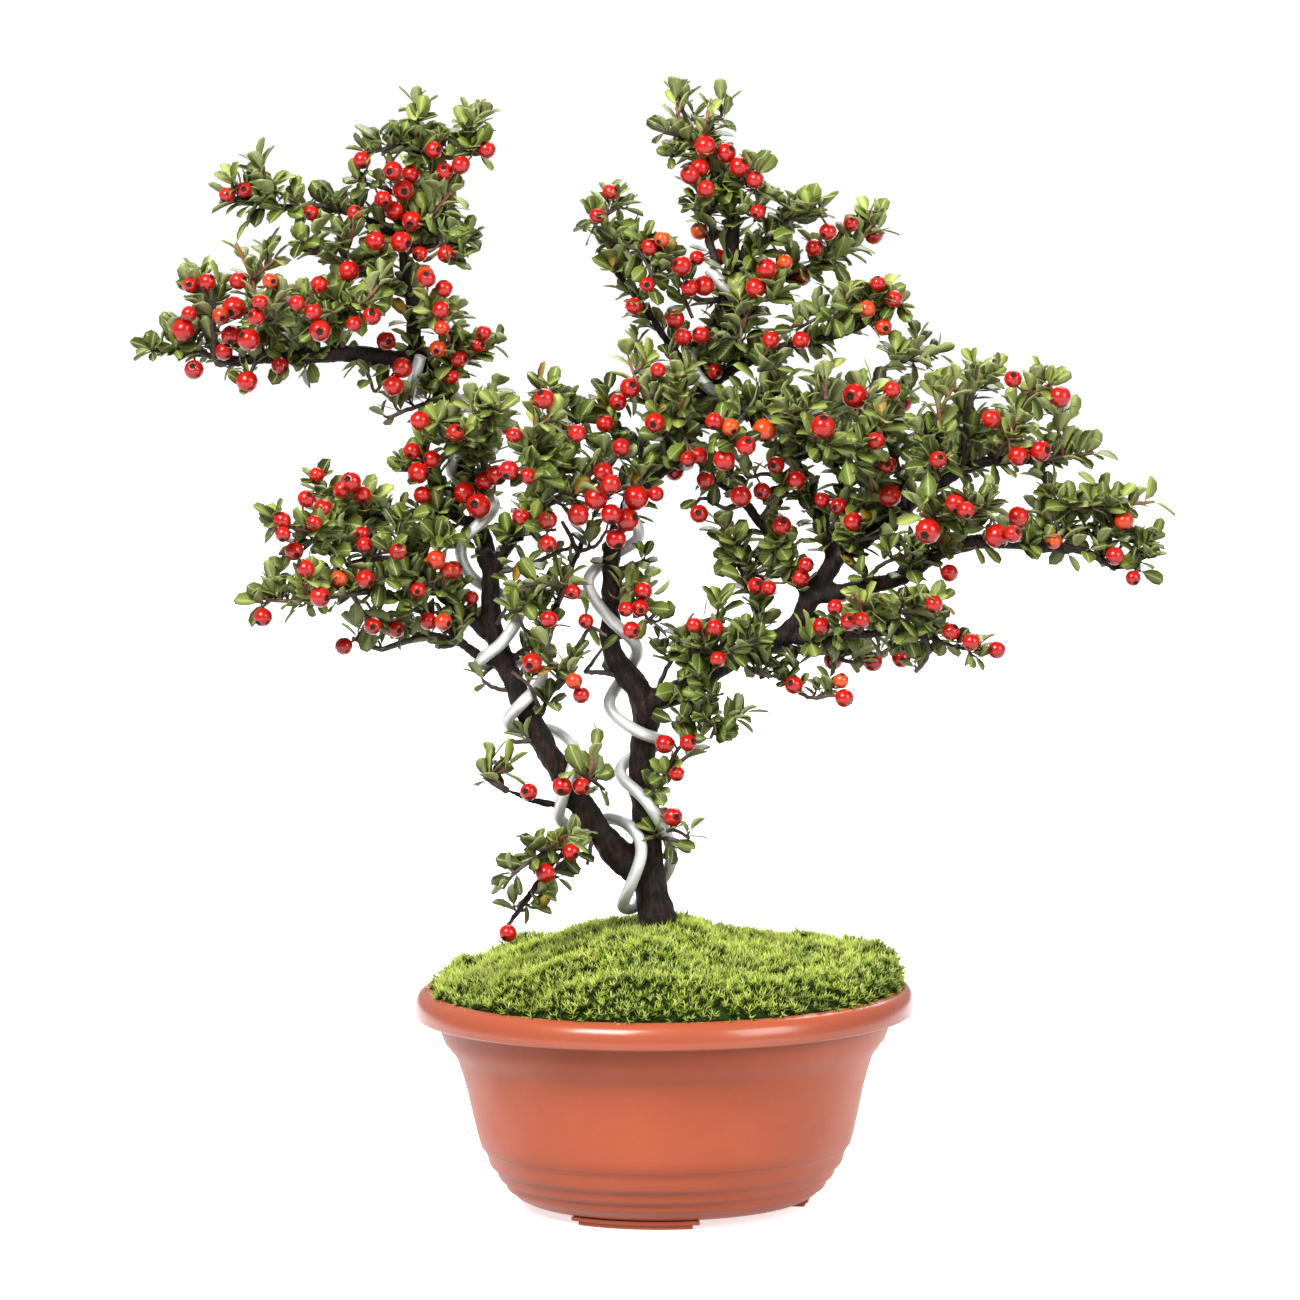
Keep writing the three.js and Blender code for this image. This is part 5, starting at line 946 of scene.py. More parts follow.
def finish_material(nodes, inputs, height=None, strength=0.3, distance=0.3):
    """A surface shader with its inputs, and a bump from a height where one is given."""
    inputs = dict(inputs)
    if height is not None:
        bump = nodes.add("ShaderNodeBump", {
            "Height": height, "Strength": strength, "Distance": distance * MM})
        inputs["Normal"] = bump.outputs[0]
    shader = nodes.add("ShaderNodeBsdfPrincipled", inputs)
    nodes.add("ShaderNodeOutputMaterial", {"Surface": shader.outputs[0]})


def object_place(nodes):
    return nodes.add("ShaderNodeTexCoord").outputs["Object"]


def noise_at(nodes, spot, scale, detail=4.0):
    return nodes.add("ShaderNodeTexNoise", {"Vector": spot, "Scale": scale, "Detail": detail}).outputs[0]


def graded(nodes, value, low, high, to_low=0.0, to_high=1.0):
    """A value that runs from to_low to to_high while the given one runs from low to high."""
    return nodes.add("ShaderNodeMapRange", {
        "Value": value, "From Min": low, "From Max": high, "To Min": to_low, "To Max": to_high}).outputs[0]


def mixed(nodes, share, a, b):
    return nodes.add("ShaderNodeMix", {0: share, 6: a, 7: b}, data_type="RGBA").outputs[2]


def opaque(colour, share=1.0):
    """A colour, brighter or darker by a share."""
    return (*(channel * share for channel in colour), 1.0)


@functools.cache
def mottle_group():
    """Shader group: two colours in soft patches, and the patches as a mask."""
    tree = bpy.data.node_groups.new("Mottle", "ShaderNodeTree")
    sockets = (("Colour 1", "Color"), ("Colour 2", "Color"), ("Scale", "Float"), ("Balance", "Float"))
    for label, kind in sockets:
        tree.interface.new_socket(name=label, in_out="INPUT", socket_type="NodeSocket" + kind)
    tree.interface.new_socket(name="Colour", in_out="OUTPUT", socket_type="NodeSocketColor")
    tree.interface.new_socket(name="Mask", in_out="OUTPUT", socket_type="NodeSocketFloat")
    nodes = Nodes(tree)
    given = nodes.add("NodeGroupInput").outputs
    patches = noise_at(nodes, object_place(nodes), given["Scale"], 5.0)
    low = nodes.maths("SUBTRACT", given["Balance"], 0.12)
    high = nodes.maths("ADD", given["Balance"], 0.12)
    mask = graded(nodes, patches, low, high)
    colour = mixed(nodes, mask, given["Colour 1"], given["Colour 2"])
    nodes.add("NodeGroupOutput", {"Colour": colour, "Mask": mask})
    return tree


def mottled(nodes, colour_1, colour_2, scale, balance=0.5):
    """The outputs of the mottle group: Colour and Mask."""
    return nodes.add("ShaderNodeGroup", {
        "Colour 1": colour_1, "Colour 2": colour_2, "Scale": scale, "Balance": balance},
        node_tree=mottle_group()).outputs


def shader_attribute(nodes, name):
    return nodes.add("ShaderNodeAttribute", attribute_name=name).outputs["Fac"]


def pot_material():
    """Satin plastic with faint scuffs and painted shade in thin lines along its steps, darker and glossier
    on the rim.
    """
    material, nodes, spot = material_nodes("Pot plastic")
    brown = settings().pot_brown
    height = nodes.add("ShaderNodeSeparateXYZ", {0: spot}).outputs["Z"]
    patches = mottled(nodes, opaque(brown), opaque(brown, 0.93), 34.0)
    scuffs = graded(nodes, noise_at(nodes, spot, 420.0, 6.0), 0.5, 0.8)
    paint = mixed(nodes, nodes.maths("MULTIPLY", scuffs, 0.07), patches["Colour"], (0.62, 0.22, 0.13, 1.0))
    # Painted shade: a thin dark line at the height of each step and under the rim.
    for step in POT_STEPS:
        away = nodes.maths("ABSOLUTE", nodes.maths("SUBTRACT", height, step * MM))
        painted_step_shade = graded(nodes, away, 0.1 * MM, 0.6 * MM, 0.32, 0.0)
        paint = mixed(nodes, painted_step_shade, paint, opaque(brown, 0.45))
    on_rim = graded(nodes, height, *(edge * MM for edge in POT_LIP))
    paint = mixed(nodes, nodes.maths("MULTIPLY", on_rim, 0.8), paint, opaque(brown, 0.72))
    rough = nodes.maths("ADD", graded(nodes, on_rim, 0.0, 1.0, 0.44, 0.25),
                        nodes.maths("MULTIPLY", patches["Mask"], 0.05))
    coat = graded(nodes, on_rim, 0.0, 1.0, 0.0, 0.3)
    grain = nodes.maths("ADD", noise_at(nodes, spot, 90.0, 2.0), nodes.maths(
        "MULTIPLY", noise_at(nodes, spot, 2600.0, 2.0), 0.25))
    inputs = {"Base Color": paint, "Roughness": rough, "Coat Weight": coat, "Coat Roughness": 0.12,
              "Specular IOR Level": 0.35}
    finish_material(nodes, inputs, grain, 0.25, 0.25)
    return material


def soil_material():
    """Near-black crumbs."""
    material, nodes, spot = material_nodes("Dark soil")
    crumbs = mottled(nodes, (0.012, 0.008, 0.006, 1.0), (0.045, 0.03, 0.021, 1.0), 300.0)
    inputs = {"Base Color": crumbs["Colour"], "Roughness": 0.95}
    finish_material(nodes, inputs, noise_at(nodes, spot, 900.0, 6.0), 0.8, 1.2)
    return material


def moss_material():
    """Green that brightens from a near-black foot of a tuft to its tips, with deeper and brownish patches;
    the near-black is partly darker old stems and partly painted shade in the gaps between tufts.
    """
    material, nodes, spot = material_nodes("Moss")
    tip = shader_attribute(nodes, "tip")
    tone = shader_attribute(nodes, "tone")
    bright = settings().moss_green
    # Near-black foot colour, also taken by the cushion: partly the moss's darker old stems, partly painted
    # shade in the gaps between tufts.
    dark = [channel * share for channel, share in zip(bright, (0.03, 0.05, 0.05))]
    patchy = mottled(nodes, opaque(bright), (0.19, 0.37, 0.015, 1.0), 42.0, 0.52)["Colour"]
    toned = mixed(nodes, nodes.maths("MULTIPLY", tone, 0.8), patchy, (0.98, 1.0, 0.28, 1.0))
    old = graded(nodes, noise_at(nodes, spot, 26.0, 3.0), 0.57, 0.7, 0.0, 0.5)
    aged = mixed(nodes, old, toned, (0.16, 0.13, 0.04, 1.0))
    colour = mixed(nodes, graded(nodes, tip, 0.42, 0.92), opaque(dark), aged)
    inputs = {"Base Color": colour, "Roughness": 0.8, "Specular IOR Level": 0.15}
    finish_material(nodes, inputs, noise_at(nodes, spot, 1500.0, 3.0), 0.4, 0.4)
    return material


def bark_material():
    """Dark brown bark with long cracks, a red tint and grey ridges that are partly worn bark and partly
    painted highlight.
    """
    material, nodes, spot = material_nodes("Bark")
    brown = settings().bark_brown
    stretched = nodes.add("ShaderNodeMapping", {"Vector": spot, "Scale": (1.0, 1.0, 0.35)}).outputs[0]
    cracks = noise_at(nodes, stretched, 650.0, 8.0)
    fine = noise_at(nodes, spot, 2400.0, 5.0)
    red = [channel * share for channel, share in zip(brown, (1.9, 1.15, 0.95))]
    patchy = mottled(nodes, opaque(brown), opaque(red), 110.0, 0.52)["Colour"]
    cracked = mixed(nodes, graded(nodes, cracks, 0.38, 0.52, 1.0, 0.0), patchy, opaque(brown, 0.35))
    # Grey on the raised ridges: partly weathered bark, partly painted highlight.
    wear_and_highlight = graded(nodes, nodes.maths("MULTIPLY", cracks, fine), 0.33, 0.45, 0.0, 0.35)
    colour = mixed(nodes, wear_and_highlight, cracked, (0.17, 0.14, 0.12, 1.0))
    height = nodes.maths("ADD", cracks, nodes.maths("MULTIPLY", fine, 0.35))
    rough = graded(nodes, cracks, 0.3, 0.7, 0.72, 0.5)
    inputs = {"Base Color": colour, "Roughness": rough, "Specular IOR Level": 0.18}
    finish_material(nodes, inputs, height, 0.9, 0.7)
    return material


def twig_material():
    """Old twigs are dark and rough, young ones red-brown and smoother."""
    material, nodes, spot = material_nodes("Twig bark")
    young = shader_attribute(nodes, "young")
    old = mottled(nodes, (0.03, 0.018, 0.014, 1.0), (0.1, 0.075, 0.06, 1.0), 260.0, 0.56)["Colour"]
    fresh = mottled(nodes, (0.24, 0.065, 0.03, 1.0), (0.34, 0.14, 0.065, 1.0), 240.0)["Colour"]
    colour = mixed(nodes, graded(nodes, young, 0.25, 0.8), old, fresh)
    inputs = {"Base Color": colour, "Roughness": graded(nodes, young, 0.0, 1.0, 0.75, 0.5)}
    finish_material(nodes, inputs, noise_at(nodes, spot, 1800.0, 4.0), 0.6, 0.3)
    return material


def leaf_material():
    """Glossy above with a pale midrib and margin, matt and grey-green below."""
    material, nodes, spot = material_nodes("Leaf")
    green, fresh = settings().leaf_green, settings().young_green
    uv = nodes.add("ShaderNodeSeparateXYZ", {0: nodes.add("ShaderNodeTexCoord").outputs["UV"]}).outputs
    tone = shader_attribute(nodes, "tone")
    young = shader_attribute(nodes, "young")
    below = shader_attribute(nodes, "underside")
    older = mixed(nodes, tone, opaque(green, 0.2), opaque(green, 2.2))
    age = nodes.maths("MULTIPLY", young, graded(nodes, tone, 0.0, 1.0, 0.55, 1.25))
    top = mixed(nodes, graded(nodes, age, 0.15, 1.0), older, opaque(fresh))
    aside = nodes.maths("ABSOLUTE", nodes.maths("SUBTRACT", uv["X"], 0.5))
    midrib = graded(nodes, aside, 0.02, 0.07, 0.55, 0.0)
    margin = graded(nodes, aside, 0.43, 0.5, 0.0, 0.55)
    slant = nodes.maths("SUBTRACT", uv["Y"], nodes.maths("MULTIPLY", aside, 0.55))
    veins = nodes.maths("SINE", nodes.maths("MULTIPLY", slant, 60.0))
    veined = graded(nodes, veins, 0.7, 1.0, 0.0, 0.2)
    pale = (0.5, 0.53, 0.19, 1.0)
    lines = nodes.maths("MAXIMUM", nodes.maths("MAXIMUM", midrib, margin), veined)
    drawn = mixed(nodes, lines, top, pale)
    yellowing = graded(nodes, tone, 0.985, 0.99, 0.0, 0.85)
    sick = mixed(nodes, noise_at(nodes, spot, 900.0, 2.0), (0.5, 0.3, 0.02, 1.0), (0.2, 0.05, 0.01, 1.0))
    upper = mixed(nodes, yellowing, drawn, sick)
    underside = mixed(nodes, young, (0.21, 0.25, 0.1, 1.0), (0.4, 0.45, 0.15, 1.0))
    lower = mixed(nodes, lines, underside, pale)
    colour = mixed(nodes, below, upper, lower)
    rough = nodes.maths("ADD", graded(nodes, below, 0.0, 1.0, 0.32, 0.65),
                        nodes.maths("MULTIPLY", tone, 0.1))
    height = nodes.maths("ADD", veins, nodes.maths("MULTIPLY", noise_at(nodes, spot, 1500.0, 2.0), 1.5))
    inputs = {"Base Color": colour, "Roughness": rough, "Subsurface Weight": 0.05,
              "Subsurface Scale": 1 * MM, "Specular IOR Level": 0.33}
    finish_material(nodes, inputs, height, 0.25, 0.12)
    return material


def berry_material():
    """Glossy red skin, now and then orange, with fine pale dots and a dark star."""
    material, nodes, spot = material_nodes("Berry skin")
    red = settings().berry_red
    tone = shader_attribute(nodes, "tone")
    star = shader_attribute(nodes, "star")
    orange = (0.66, 0.085, 0.01, 1.0)
    flush = graded(nodes, noise_at(nodes, spot, 190.0, 2.0), 0.4, 0.7, 0.0, 0.45)
    ripe = mixed(nodes, flush, opaque(red), (0.62, 0.022, 0.006, 1.0))
    skin = mixed(nodes, graded(nodes, tone, 0.9, 1.0), ripe, orange)
    dots = nodes.add("ShaderNodeTexVoronoi", {"Vector": spot, "Scale": 1600.0}).outputs["Distance"]
    dotted = mixed(nodes, graded(nodes, dots, 0.06, 0.13, 0.2, 0.0), skin, (0.8, 0.2, 0.08, 1.0))
    colour = mixed(nodes, star, dotted, (0.03, 0.014, 0.009, 1.0))
    rough = graded(nodes, star, 0.0, 1.0, 0.24, 0.8)
    coat = graded(nodes, star, 0.0, 1.0, 0.3, 0.0)
    inputs = {"Base Color": colour, "Roughness": rough, "Coat Weight": coat, "Coat Roughness": 0.05,
              "Specular IOR Level": 0.3, "Subsurface Weight": 0.08, "Subsurface Scale": 2 * MM}
    finish_material(nodes, inputs, noise_at(nodes, spot, 700.0, 2.0), 0.12, 0.2)
    return material


def wire_material():
    """Dull aluminium with fine scratches."""
    material, nodes, spot = material_nodes("Soft aluminium")
    colour = mottled(nodes, (0.7, 0.7, 0.69, 1.0), (0.55, 0.56, 0.55, 1.0), 120.0)["Colour"]
    scratches = noise_at(nodes, spot, 1300.0, 5.0)
    rough = graded(nodes, scratches, 0.3, 0.7, 0.4, 0.56)
    inputs = {"Base Color": colour, "Metallic": 0.4, "Roughness": rough}
    finish_material(nodes, inputs, scratches, 0.2, 0.1)
    return material


def floor_material():
    """A white sweep with a little light of its own, so that it stays white to its far edge."""
    material, nodes, spot = material_nodes("Pale floor")
    colour = mottled(nodes, (0.9, 0.9, 0.9, 1.0), (0.88, 0.88, 0.88, 1.0), 3.0)["Colour"]
    inputs = {"Base Color": colour, "Roughness": 0.6, "Specular IOR Level": 0.15,
              "Emission Color": (1.0, 1.0, 1.0, 1.0), "Emission Strength": 0.66}
    finish_material(nodes, inputs, noise_at(nodes, spot, 300.0, 2.0), 0.02, 0.1)
    return material


# Shoots of the sprays, with their leafy spurs
def grown(points, young, size, spacing, radii):
    """One line of wood with the values that its leaves and its bark need, from its foot to its tip."""
    count = len(points)
    shares = [i / (count - 1) for i in range(count)]
    return {
        "points": points,
        "thickness": [blend(*radii, share) * MM for share in shares],
        "young": [blend(*young, share) for share in shares],
        "size": [size * blend(1, 0.86, share) for share in shares],
        "spacing": [spacing * MM] * count,
    }


def any_direction(rng):
    return Vector((rng.gauss(0, 1), rng.gauss(0, 1), rng.gauss(0, 1))).normalized()


def spur(foot, along, rng, young):
    """A short side shoot that bends up towards the light and ends in a tuft of leaves."""
    aside = any_direction(rng)
    aside -= along * aside.dot(along)
    out = (aside.normalized() + along * 0.35 + Vector((0, 0, rng.uniform(0.2, 0.8)))).normalized()
    length = rng.uniform(*SPUR_LENGTHS)
    middle = foot + out * length * 0.55
    tip = middle + (out + Vector((0, 0, 0.5))).normalized() * length * 0.45
    size = rng.uniform(0.8, 1.0)
    return grown([foot, middle, tip], (young * 0.5, young), size, SPUR_SPACING, SPUR_RADII)


def shortened(points, cut):
    """A line without its last stretch, because the leaves reach on past its end."""
    points = list(points)
    while len(points) > 4 and cut > 0:
        cut -= (points[-1] - points[-2]).length
        points.pop()
    return points


def leafiness(point):
    """Share of the spurs that stay at a point: few where the wood shows."""
    u, v = project(point)
    bare = any(left < u < right and top < v < bottom for left, right, top, bottom in SPARSE_BOXES)
    return SPARSE_SHARE if bare else 1


def with_spurs(points, step, rng, young):
    """Spurs along a line, about a step apart."""
    lines = []
    reached = step * rng.uniform(0.3, 1)
    walked = 0
    for a, b in zip(points, points[1:]):
        walked += (b - a).length
        if walked >= reached:
            reached = walked + step * rng.uniform(0.6, 1.4)
            made = spur(b, (b - a).normalized(), rng, young * rng.uniform(0.2, 1.0))
            if rng.random() < leafiness(b):
                lines.append(made)
    return lines


@functools.cache
def twig_lines():
    """The old twigs, a little crooked."""
    rng = random.Random(settings().seed + 1)
    lines = []
    for foot, tip, drawn in TWIGS:
        points = [point for point, _ in spline([place(p) for p in drawn], 1.6)]
        bent = [point + any_direction(rng) * 0.22 for point in points[1:]]
        lines.append(grown([points[0], *bent], (0.0, 0.35), 1.0, 3.0, (foot, tip)))
    return lines


@functools.cache
def limb_spurs():
    """Spurs that stand on the old twigs and where the limbs are thin."""
    rng = random.Random(settings().seed + 90)
    step = in_mm(settings().spur_step)
    lines = []
    for line in limb_lines():
        thin = [point for point, radius in line if radius < LEAFY_RADIUS]
        if len(thin) > 2:
            lines += with_spurs(thin, step * 1.1, rng, 0.5)
    for line in twig_lines():
        lines += with_spurs(line["points"], step * 1.6, rng, 0.4)
    return lines


@functools.cache
def sprays():
    """For each spray, its leafy lines: the drawn shoots and the spurs on them."""
    step = in_mm(settings().spur_step)
    made = {}
    for number, (name, shoots) in enumerate(SPRAYS.items()):
        rng = random.Random(settings().seed + number)
        lines = []
        for order, drawn in enumerate(shoots):
            points = [point for point, _ in spline([place(p) for p in drawn], 2.2)]
            points = shortened(points, in_mm(settings().leaf_length) * 0.55)
            rise = (points[-1] - points[0]).normalized().z
            young = min(1, max(0.1, 0.35 + 0.6 * rise + rng.uniform(-0.2, 0.2)))
            radii = FIRST_SHOOT_RADII if order == 0 else SIDE_SHOOT_RADII
            lines.append(grown(points, (young * 0.3, young), 1.1, SHOOT_SPACING, radii))
            clothed = len(points) * (UPRIGHT_CLOTHED if rise > UPRIGHT_RISE else 1)
            lines += with_spurs(points[:max(3, round(clothed))], step, rng, young)
        made[name] = lines
    return made


def leaf_template():
    """A leaf along +Y, its upper face towards +Z: folded at the midrib, broadest past its middle."""
    stations = [(0.0, 0.09), (0.13, 0.12), (0.33, 0.72), (0.62, 1.0), (0.87, 0.8)]
    length, half = in_mm(settings().leaf_length), in_mm(settings().leaf_width) / 2
    fold, droop, body = 0.24, 0.9, 0.13
    corners, faces, below = [], [], []

    def centre(t):
        return -droop * max(0, t - 0.3) ** 2 * 2

    for t, width in stations:
        y, x = t * length, width * half
        corners += [Vector((-x, y, centre(t) + x * fold)), Vector((0, y, centre(t) + body)),
                    Vector((x, y, centre(t) + x * fold)), Vector((0, y, centre(t) - body))]
    tip = len(corners)
    corners.append(Vector((0, length, centre(1))))
    for i in range(len(stations) - 1):
        a, b = i * 4, i * 4 + 4
        faces += [(a, a + 1, b + 1, b), (a + 1, a + 2, b + 2, b + 1)]
        faces += [(a + 3, a, b, b + 3), (a + 2, a + 3, b + 3, b + 2)]
        below += [0, 0, 1, 1]
    faces += [(tip - 4, tip - 3, tip), (tip - 3, tip - 2, tip)]
    faces += [(tip - 1, tip - 4, tip), (tip - 2, tip - 1, tip), (0, 3, 2, 1)]
    below += [0, 0, 1, 1, 1]
    mesh = mesh_of("leaf template", corners, faces)
    mesh.flip_normals()
    mesh.attributes.new("underside", "FLOAT", "FACE").data.foreach_set("value", below)
    layer = mesh.uv_layers.new(name="UVMap")
    for loop in mesh.loops:
        corner = corners[loop.vertex_index]
        width = next((w for t, w in reversed(stations) if corner.y >= t * length - 0.01), 1) * half
        layer.data[loop.index].uv = (0.5 + 0.5 * corner.x / width, corner.y / length)
    return in_scene("leaf template", mesh)


def berry_template():
    """A berry of radius 1 with its stalk at the bottom and a five-pointed star in a dip on top."""
    profile = [(0, -0.95), (0.3, -0.93), (0.68, -0.7), (0.95, -0.28), (1, 0.12), (0.86, 0.55), (0.54, 0.86),
               (0.33, 0.94), (0.2, 0.86), (0, 0.82)]
    bm = turned([(r / MM, z / MM) for r, z in profile], 12)  # turned scales its profile by MM
    star = bm.faces.layers.float.new("star")
    for face in bm.faces:
        middle = face.calc_center_median()
        face[star] = 1.0 if middle.z > 0 and middle.xy.length < 0.26 else 0.0
    for k in range(5):
        turn = Matrix.Rotation(k * math.tau / 5, 3, "Z")
        wedge = [bm.verts.new(turn @ Vector(p)) for p in (
            (0.14, -0.13, 0.87), (0.14, 0.13, 0.87), (0.46, 0, 0.98), (0.24, 0, 0.99))]
        for corners in ((0, 1, 3), (1, 2, 3), (2, 0, 3), (0, 2, 1)):
            bm.faces.new([wedge[i] for i in corners])[star] = 1.0
    bmesh.ops.recalc_face_normals(bm, faces=bm.faces)
    return in_scene("berry template", finished(bm, "berry template"))


def tuft_template():
    """A shoot of moss of height 1: narrow pointed leaves that lean outwards up its length."""
    corners, faces, tips = [], [], []
    count = 7
    for k in range(count):
        turn = Matrix.Rotation(k * GOLDEN_ANGLE, 3, "Z")
        low = -0.1 if k == 0 else 0.1 + 0.07 * k
        lean, top, half = (0.03, 1, 0.07) if k == 0 else (0.42 - 0.03 * k, low + 0.36, 0.055)
        first = len(corners)
        corners += [turn @ Vector(p) for p in (
            (0.02, -half, low), (0.02, half, low), (-0.05, 0, low), (lean, 0, top))]
        faces += [tuple(first + i for i in face) for face in ((0, 1, 3), (1, 2, 3), (2, 0, 3))]
        tips += [max(low, 0)] * 3 + [min(1, top + 0.1)]
    mesh = bpy.data.meshes.new("tuft template")
    mesh.from_pydata(corners, [], faces)
    mesh.attributes.new("tip", "FLOAT", "POINT").data.foreach_set("value", tips)
    return in_scene("tuft template", mesh)


def grain_template():
    """A crumb of soil of radius 1."""
    bm = bmesh.new()
    bmesh.ops.create_icosphere(bm, subdivisions=1, radius=1)
    for k, vert in enumerate(bm.verts):
        vert.co *= 0.75 + 0.35 * ((k * 7) % 5) / 4
    return in_scene("grain template", finished(bm, "grain template", smooth=False))


# Pieces
def drain_drill():
    """Rods where the pot's floor has its holes."""
    drill = bmesh.new()
    for k in range(DRAIN_HOLES):
        turn = (k + 0.5) / DRAIN_HOLES * math.tau
        centre = Vector((DRAIN_DISTANCE * math.cos(turn), DRAIN_DISTANCE * math.sin(turn), 4))
        bmesh.ops.create_cone(
            drill, cap_ends=True, segments=32, radius1=DRAIN_RADIUS * MM, radius2=DRAIN_RADIUS * MM,
            depth=12 * MM, matrix=Matrix.Translation(centre * MM))
    return in_scene("drain drill", finished(drill, "drain drill"))


def make_pot():
    """The turned pot with its drain holes and three feet."""
    body = finished(turned([*POT_OUTSIDE, *POT_RIM, *POT_INSIDE], POT_SEGMENTS), "pot")
    drill = drain_drill()

    def drilled(holder):
        modifier = holder.modifiers.new("Drain holes", "BOOLEAN")
        modifier.operation = "DIFFERENCE"
        modifier.solver = "EXACT"
        modifier.object = drill

    holed = with_modifiers("pot", body, drilled)
    bpy.data.objects.remove(drill)
    bm = bmesh.new()
    bm.from_mesh(holed)
    for angle in FOOT_ANGLES:
        for half_angle, *section in FOOT_PARTS:
            add_foot(bm, math.radians(angle), math.radians(half_angle), *section)
    mesh = finished(bm, "pot")
    mesh.set_sharp_from_angle(angle=math.radians(34))
    mesh.materials.clear()
    mesh.materials.append(pot_material())
    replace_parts(link("pot_body", mesh), "pot")


def add_foot(bm, angle, half_angle, inner, outer, low, high):
    """A curved block under the pot, with its lower edges taken off."""
    section = [
        (inner + FOOT_EASE, low), (outer - FOOT_EASE, low), (outer, low + FOOT_EASE), (outer, high),
        (inner, high), (inner, low + FOOT_EASE)]
    rings = []
    for k in range(FOOT_STEPS + 1):
        turn = angle + half_angle * (2 * k / FOOT_STEPS - 1)
        rings.append([ring_corner(bm, radius, turn, height) for radius, height in section])
    faces = []
    for a, b in zip(rings, rings[1:]):
        faces += [bm.faces.new((a[i], b[i], b[(i + 1) % 6], a[(i + 1) % 6])) for i in range(6)]
    faces += [bm.faces.new(rings[0]), bm.faces.new(rings[-1][::-1])]
    bmesh.ops.recalc_face_normals(bm, faces=faces)


def soil_ring():
    """The flat ring at the pot's edge where loose grains lie."""
    ring = bmesh.new()
    turns = [k * math.tau / SOIL_RING_SEGMENTS for k in range(SOIL_RING_SEGMENTS)]
    inner, outer = [
        [ring.verts.new(Vector((radius * math.cos(turn), radius * math.sin(turn), SOIL_TOP)) * MM)
         for turn in turns] for radius in SOIL_RING]
    for k in range(SOIL_RING_SEGMENTS):
        n = (k + 1) % SOIL_RING_SEGMENTS
        ring.faces.new((inner[k], outer[k], outer[n], inner[n]))
    ring.normal_update()
    return finished(ring, "ring")


def make_soil():
    """A crumbly bed that fills the pot, with loose grains round its edge."""
    outline = [(r - 0.3, z + 0.3) for r, z in POT_INSIDE[::-1] if 0 < r and z < SOIL_TOP - 3]
    top = [(86.4, SOIL_TOP - 0.4), (84, SOIL_TOP), (70, SOIL_TOP + 0.3), (0, SOIL_TOP + 0.4)]
    bm = turned([(0, 5.3), *outline, *top], SOIL_SEGMENTS)
    for vert in bm.verts:
        if vert.co.z > 78 * MM:
            vert.co.z += 0.6 * MM * noise.noise(vert.co * 900)
    mesh = finished(bm, "soil")
    mesh.materials.append(soil_material())
    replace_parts(link("soil_bed", mesh), "soil")

    grain = grain_template()
    smallest, largest = (radius * MM for radius in GRAIN_RADII)
    grains = by_nodes(
        "soil_grains", soil_ring(), scatter_tree(), thing=grain, seed=3, density=GRAIN_DENSITY,
        smallest=smallest, largest=largest, lean=2.0, material=soil_material())
    bpy.data.objects.remove(grain)
    link("soil_grains", grains)


def moss_height(x, y):
    """How far the moss stands above or below its even cushion."""
    lumps = math.sin(x * 0.11 + 1) * math.cos(y * 0.13) + 0.6 * math.sin(x * 0.05 - y * 0.21)
    small = noise.noise(Vector((x, y, 0)) * 0.06) * 4.2 + noise.noise(Vector((x, y, 9)) * 0.2) * 2.2
    across = (x + MOSS_REACH) / (2 * MOSS_REACH)
    return lumps * 1.1 + small + between(MOSS_LEAN, across * (len(MOSS_LEAN) - 1))


def lumpy(bm):
    """Moves the corners of the even cushion, more the further they are above its edge."""
    for vert in bm.verts:
        x, y, z = vert.co / MM
        if z > MOSS_EDGE:
            vert.co.z += moss_height(x, y) * min(1, (z - MOSS_EDGE) / 6) * MM
        if math.hypot(x, y) > 60:
            wave = 1 + 0.012 * noise.noise(Vector((x, y, 5)) * 0.06)
            vert.co.x *= wave
            vert.co.y *= wave


def make_moss():
    """The lumpy cushion, and tufts all over it down to the pot's edge."""
    lowered = [(r * MOSS_SHRINK, z - MOSS_SUNK if z > MOSS_EDGE else z) for r, z in MOSS_PROFILE]
    bm = turned([(0, SOIL_TOP), *lowered], MOSS_SEGMENTS)
    lumpy(bm)
    cushion = finished(bm, "moss")
    # The cushion takes the near-black foot colour throughout: painted shade between the tufts.
    tips = [0.25] * len(cushion.vertices)
    cushion.attributes.new("tip", "FLOAT", "POINT").data.foreach_set("value", tips)
    paint = moss_material()
    cushion.materials.append(paint)
    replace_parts(link("moss_cushion", cushion), "moss")

    upper = bmesh.new()
    upper.from_mesh(cushion)
    low = [face for face in upper.faces if face.calc_center_median().z < MOSS_FOOT * MM]
    bmesh.ops.delete(upper, geom=low, context="FACES")
    tuft = tuft_template()
    height = settings().tuft_height
    tufts = by_nodes(
        "moss_tufts", finished(upper, "moss top"), scatter_tree(), thing=tuft, seed=5,
        density=float(settings().tuft_density), smallest=height * 0.5, largest=height * 1.15, lean=0.8,
        material=paint)
    bpy.data.objects.remove(tuft)
    link("moss_tufts", tufts)


def limb_lines():
    """Each limb as a smooth line of points with a radius at each."""
    lines = []
    for name, (radii, drawn) in LIMBS.items():
        points = [place(p) for p in drawn]
        radii = list(radii)
        if name == "leader":
            points.insert(0, Vector((points[0].x, points[0].y, 66)))
            radii.insert(0, radii[0] + 0.8)
        line = spline(points, 2.0)
        lines.append([(point, between(radii, position)) for point, position in line])
    return lines


